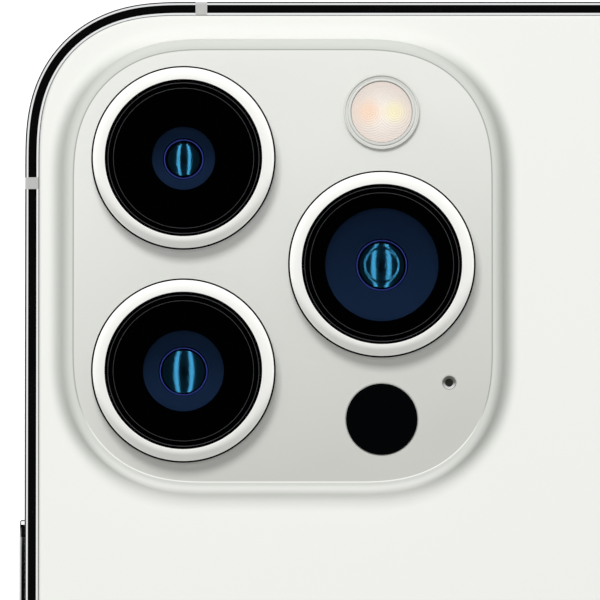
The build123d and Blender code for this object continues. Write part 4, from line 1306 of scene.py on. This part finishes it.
# %% Display cover
EARPIECE_LENGTH, EARPIECE_WIDTH, EARPIECE_FROM_TOP = 10, 0.7, 2.0


def front_cover():
    low, high = box("front_glass")
    loops = [body_loop(GLASS_INSET, high.z)]
    for inset, z in sheet_edge(0.4, 0.25)[::-1]:
        loops.append(body_loop(inset, low.z + sheet_top - z))
    sheet = make_piece("display_cover_glass", *stacked(loops), BLACK_GLASS, 35)
    slot_y = half_length - EARPIECE_FROM_TOP
    slot = [[(u, slot_y + v, z) for u, v in pill(EARPIECE_LENGTH, EARPIECE_WIDTH)]
            for z in (-1, 2)]
    cut(sheet, [make_piece("cutter", *stacked(slot), [])])
    return stand_for(sheet, "front_glass", slot="black_glass")


front_cover()

# %% [markdown]
# ## Pieces that keep their CAD shape
# What is inside, and the small hardware at the lower end, already have their true shapes.
# They only get finishes.

# %% Finishes for the CAD pieces
CAD_FINISHES = {
    "mid_plate": MACHINED_ALUMINIUM, "display_panel": DISPLAY_FILM,
    "display_frame": BLACK_RESIN, "display_gasket": SEAL_FOAM,
    "camera_bracket": STAMPED_STEEL, "flash_board": BREAK_RESIN,
    "lidar_module": BLACK_RESIN, "key_switches": STAMPED_STEEL,
    "sim_reader": STAMPED_STEEL, "charging_port": STAMPED_STEEL,
    "case_screws": POLISHED_STEEL, "battery": FOIL_POUCH, "logic_board": BOARD,
    "haptic_case": STAMPED_STEEL, "haptic_mass": TUNGSTEN, "loudspeaker": BLACK_RESIN,
    "earpiece_speaker": BLACK_RESIN, "front_camera": BLACK_RESIN,
    "charging_coil": COPPER_COIL, "magnet_ring": MAGNET_NICKEL,
    "flex_cables": POLYIMIDE, "wide_sensor": BOARD, "fixed_sensors": BOARD,
    "wide_shift_carriage": STAMPED_STEEL, "tele_camera_housing": STAMPED_STEEL,
    "wide_camera_housing": STAMPED_STEEL, "ultrawide_camera_housing": STAMPED_STEEL,
}
for node, finish in CAD_FINISHES.items():
    mesh = frame["nodes"][node].data
    mesh.materials.clear()
    mesh.materials.append(finish)
print(len(CAD_FINISHES), "CAD pieces keep their shape")

# %% [markdown]
# ## Table and lights
# The table is a pale sheet lit a little from below, as on a light table, so the shadow
# round the phone stays faint. Two long strip lights hang over the phone, one each side:
# they are linked to the front elements only, which mirror them as bars. A broad fill is
# linked to the rings, to whiten their satin faces. A softbox above the upper left corner
# throws the shadows towards the lower end and a little to the right.

# %% Table
TABLE_HALF, TABLE_LEVEL = 6000.0, -0.02


def table():
    """A sheet of pale laminate, matt and even, with a faint drift in its white."""
    corners = [(x * TABLE_HALF, y * TABLE_HALF, TABLE_LEVEL)
               for x, y in ((-1, -1), (1, -1), (1, 1), (-1, 1))]
    material, tree, shader = surface("pale_table", "#f4f4f4", Roughness=0.6, IOR=1.45,
                                     Emission_Color=linear("#ffffff"),
                                     Emission_Strength=0.35)
    mottle(tree, shader, grain(tree, 3.0), "#f3f3f3", "#f6f6f6")
    make_piece("table_top", corners, [(0, 1, 2, 3)], material, closed=False)


table()


# %% Lights
def area_light(name, aim, direction, distance, width, height, radiance,
               mirrored=True, only=None):
    """A rectangular light, with its sizes in millimetres. direction points from the aim
    to the light, and radiance is how bright its face looks."""
    data = bpy.data.lights.new(name, "AREA")
    data.shape, data.size, data.size_y = "RECTANGLE", width * MM, height * MM
    data.energy = radiance * pi * width * height * MM * MM
    light = bpy.data.objects.new(name, data)
    bpy.context.scene.collection.objects.link(light)
    toward = Vector(direction).normalized()
    light.location = (Vector(aim) + toward * distance) * MM
    light.rotation_mode = "QUATERNION"
    across = Vector((0, 1, 0)).cross(toward).normalized()
    turn = Matrix((across, toward.cross(across), toward)).transposed()
    light.rotation_quaternion = turn.to_quaternion()
    light.visible_camera = False
    light.visible_glossy = mirrored
    if only:
        light.light_linking.receiver_collection = only
    print(name, "at", [round(c, 3) for c in light.location])
    return light


def light_group(name, pieces):
    """A collection of the pieces that a linked light falls on."""
    group = bpy.data.collections.new(name)
    for piece in pieces:
        group.objects.link(piece)
    return group


VIEW_CENTRE = (-13.2, 48.8)
AIM = (*VIEW_CENTRE, 9.3)
STRIP_TILT = radians(19.5)
front_elements = light_group("front_elements", front_lenses)
for name, side in (("strip_left", -1), ("strip_right", 1)):
    area_light(name, AIM, (side * sin(STRIP_TILT), 0, cos(STRIP_TILT)),
               distance=600, width=118, height=2800, radiance=62.0, only=front_elements)
area_light("ring_fill", AIM, (-0.06, 0.36, 1.0), distance=600, width=560, height=520,
           radiance=0.7, only=light_group("ring_faces", rings))
area_light("softbox_upper_left", AIM, (-0.16, 0.46, 1.0), distance=700, width=230,
           height=230, radiance=15.6, mirrored=False)

# %% [markdown]
# ## The room
# The world stands for the room: bright round the horizon and dark straight up, so
# polished faces that look up turn black. It is a little dimmer as a light than as a
# reflection, which keeps the shadows while the steel stays bright.

# %% World
SKY = [(0.0, 0.7), (0.45, 0.8), (0.62, 1.0), (0.955, 1.0), (0.98, 0.003)]


def studio_world():
    """SKY is (height, brightness), from the horizon at 0 to straight up at 1."""
    world = bpy.data.worlds.new("studio")
    bpy.context.scene.world = world
    world.use_nodes = True
    tree = world.node_tree
    place = add(tree, "ShaderNodeTexCoord")
    parts = add(tree, "ShaderNodeSeparateXYZ", None,
                {"Vector": place.outputs["Generated"]})
    ramp = add(tree, "ShaderNodeValToRGB", None, {"Fac": parts.outputs["Z"]})
    stops = ramp.color_ramp.elements
    stops.remove(stops[0])
    for i, (height, brightness) in enumerate(SKY):
        stop = stops.new(height) if i else stops[0]
        stop.position = height
        stop.color = (brightness, brightness, brightness, 1)
    path = add(tree, "ShaderNodeLightPath")
    level = add(tree, "ShaderNodeMapRange", {"To Min": 0.6, "To Max": 1.05},
                {"Value": path.outputs["Is Glossy Ray"]})
    back = tree.nodes["Background"]
    tree.links.new(ramp.outputs["Color"], back.inputs["Color"])
    tree.links.new(level.outputs["Result"], back.inputs["Strength"])


studio_world()
bpy.context.scene.view_settings.view_transform = "Standard"

# %% [markdown]
# ## Camera
# A long lens looks almost straight down at the corner with the plateau, leaning a few
# degrees towards the lower end of the phone, so the near walls of the rings just show.

# %% Camera
LENS_MM, SENSOR_MM = 600, 36
VIEW_WIDTH = 49.18
LEAN_DEGREES = 3.5
target = Vector((*VIEW_CENTRE, band_back))
distance = VIEW_WIDTH * LENS_MM / SENSOR_MM
lean = radians(LEAN_DEGREES)
back = Vector((0, -sin(lean), cos(lean)))
lens_data = bpy.data.cameras.new("camera")
lens_data.lens, lens_data.sensor_width = LENS_MM, SENSOR_MM
lens_data.clip_start, lens_data.clip_end = 0.05, 50
camera_object = bpy.data.objects.new("camera", lens_data)
bpy.context.scene.collection.objects.link(camera_object)
camera_object.location = (target + back * distance) * MM
camera_object.rotation_mode = "QUATERNION"
camera_object.rotation_quaternion = back.to_track_quat("Z", "Y")
bpy.context.scene.camera = camera_object
print("camera distance", round(distance, 1), "mm")
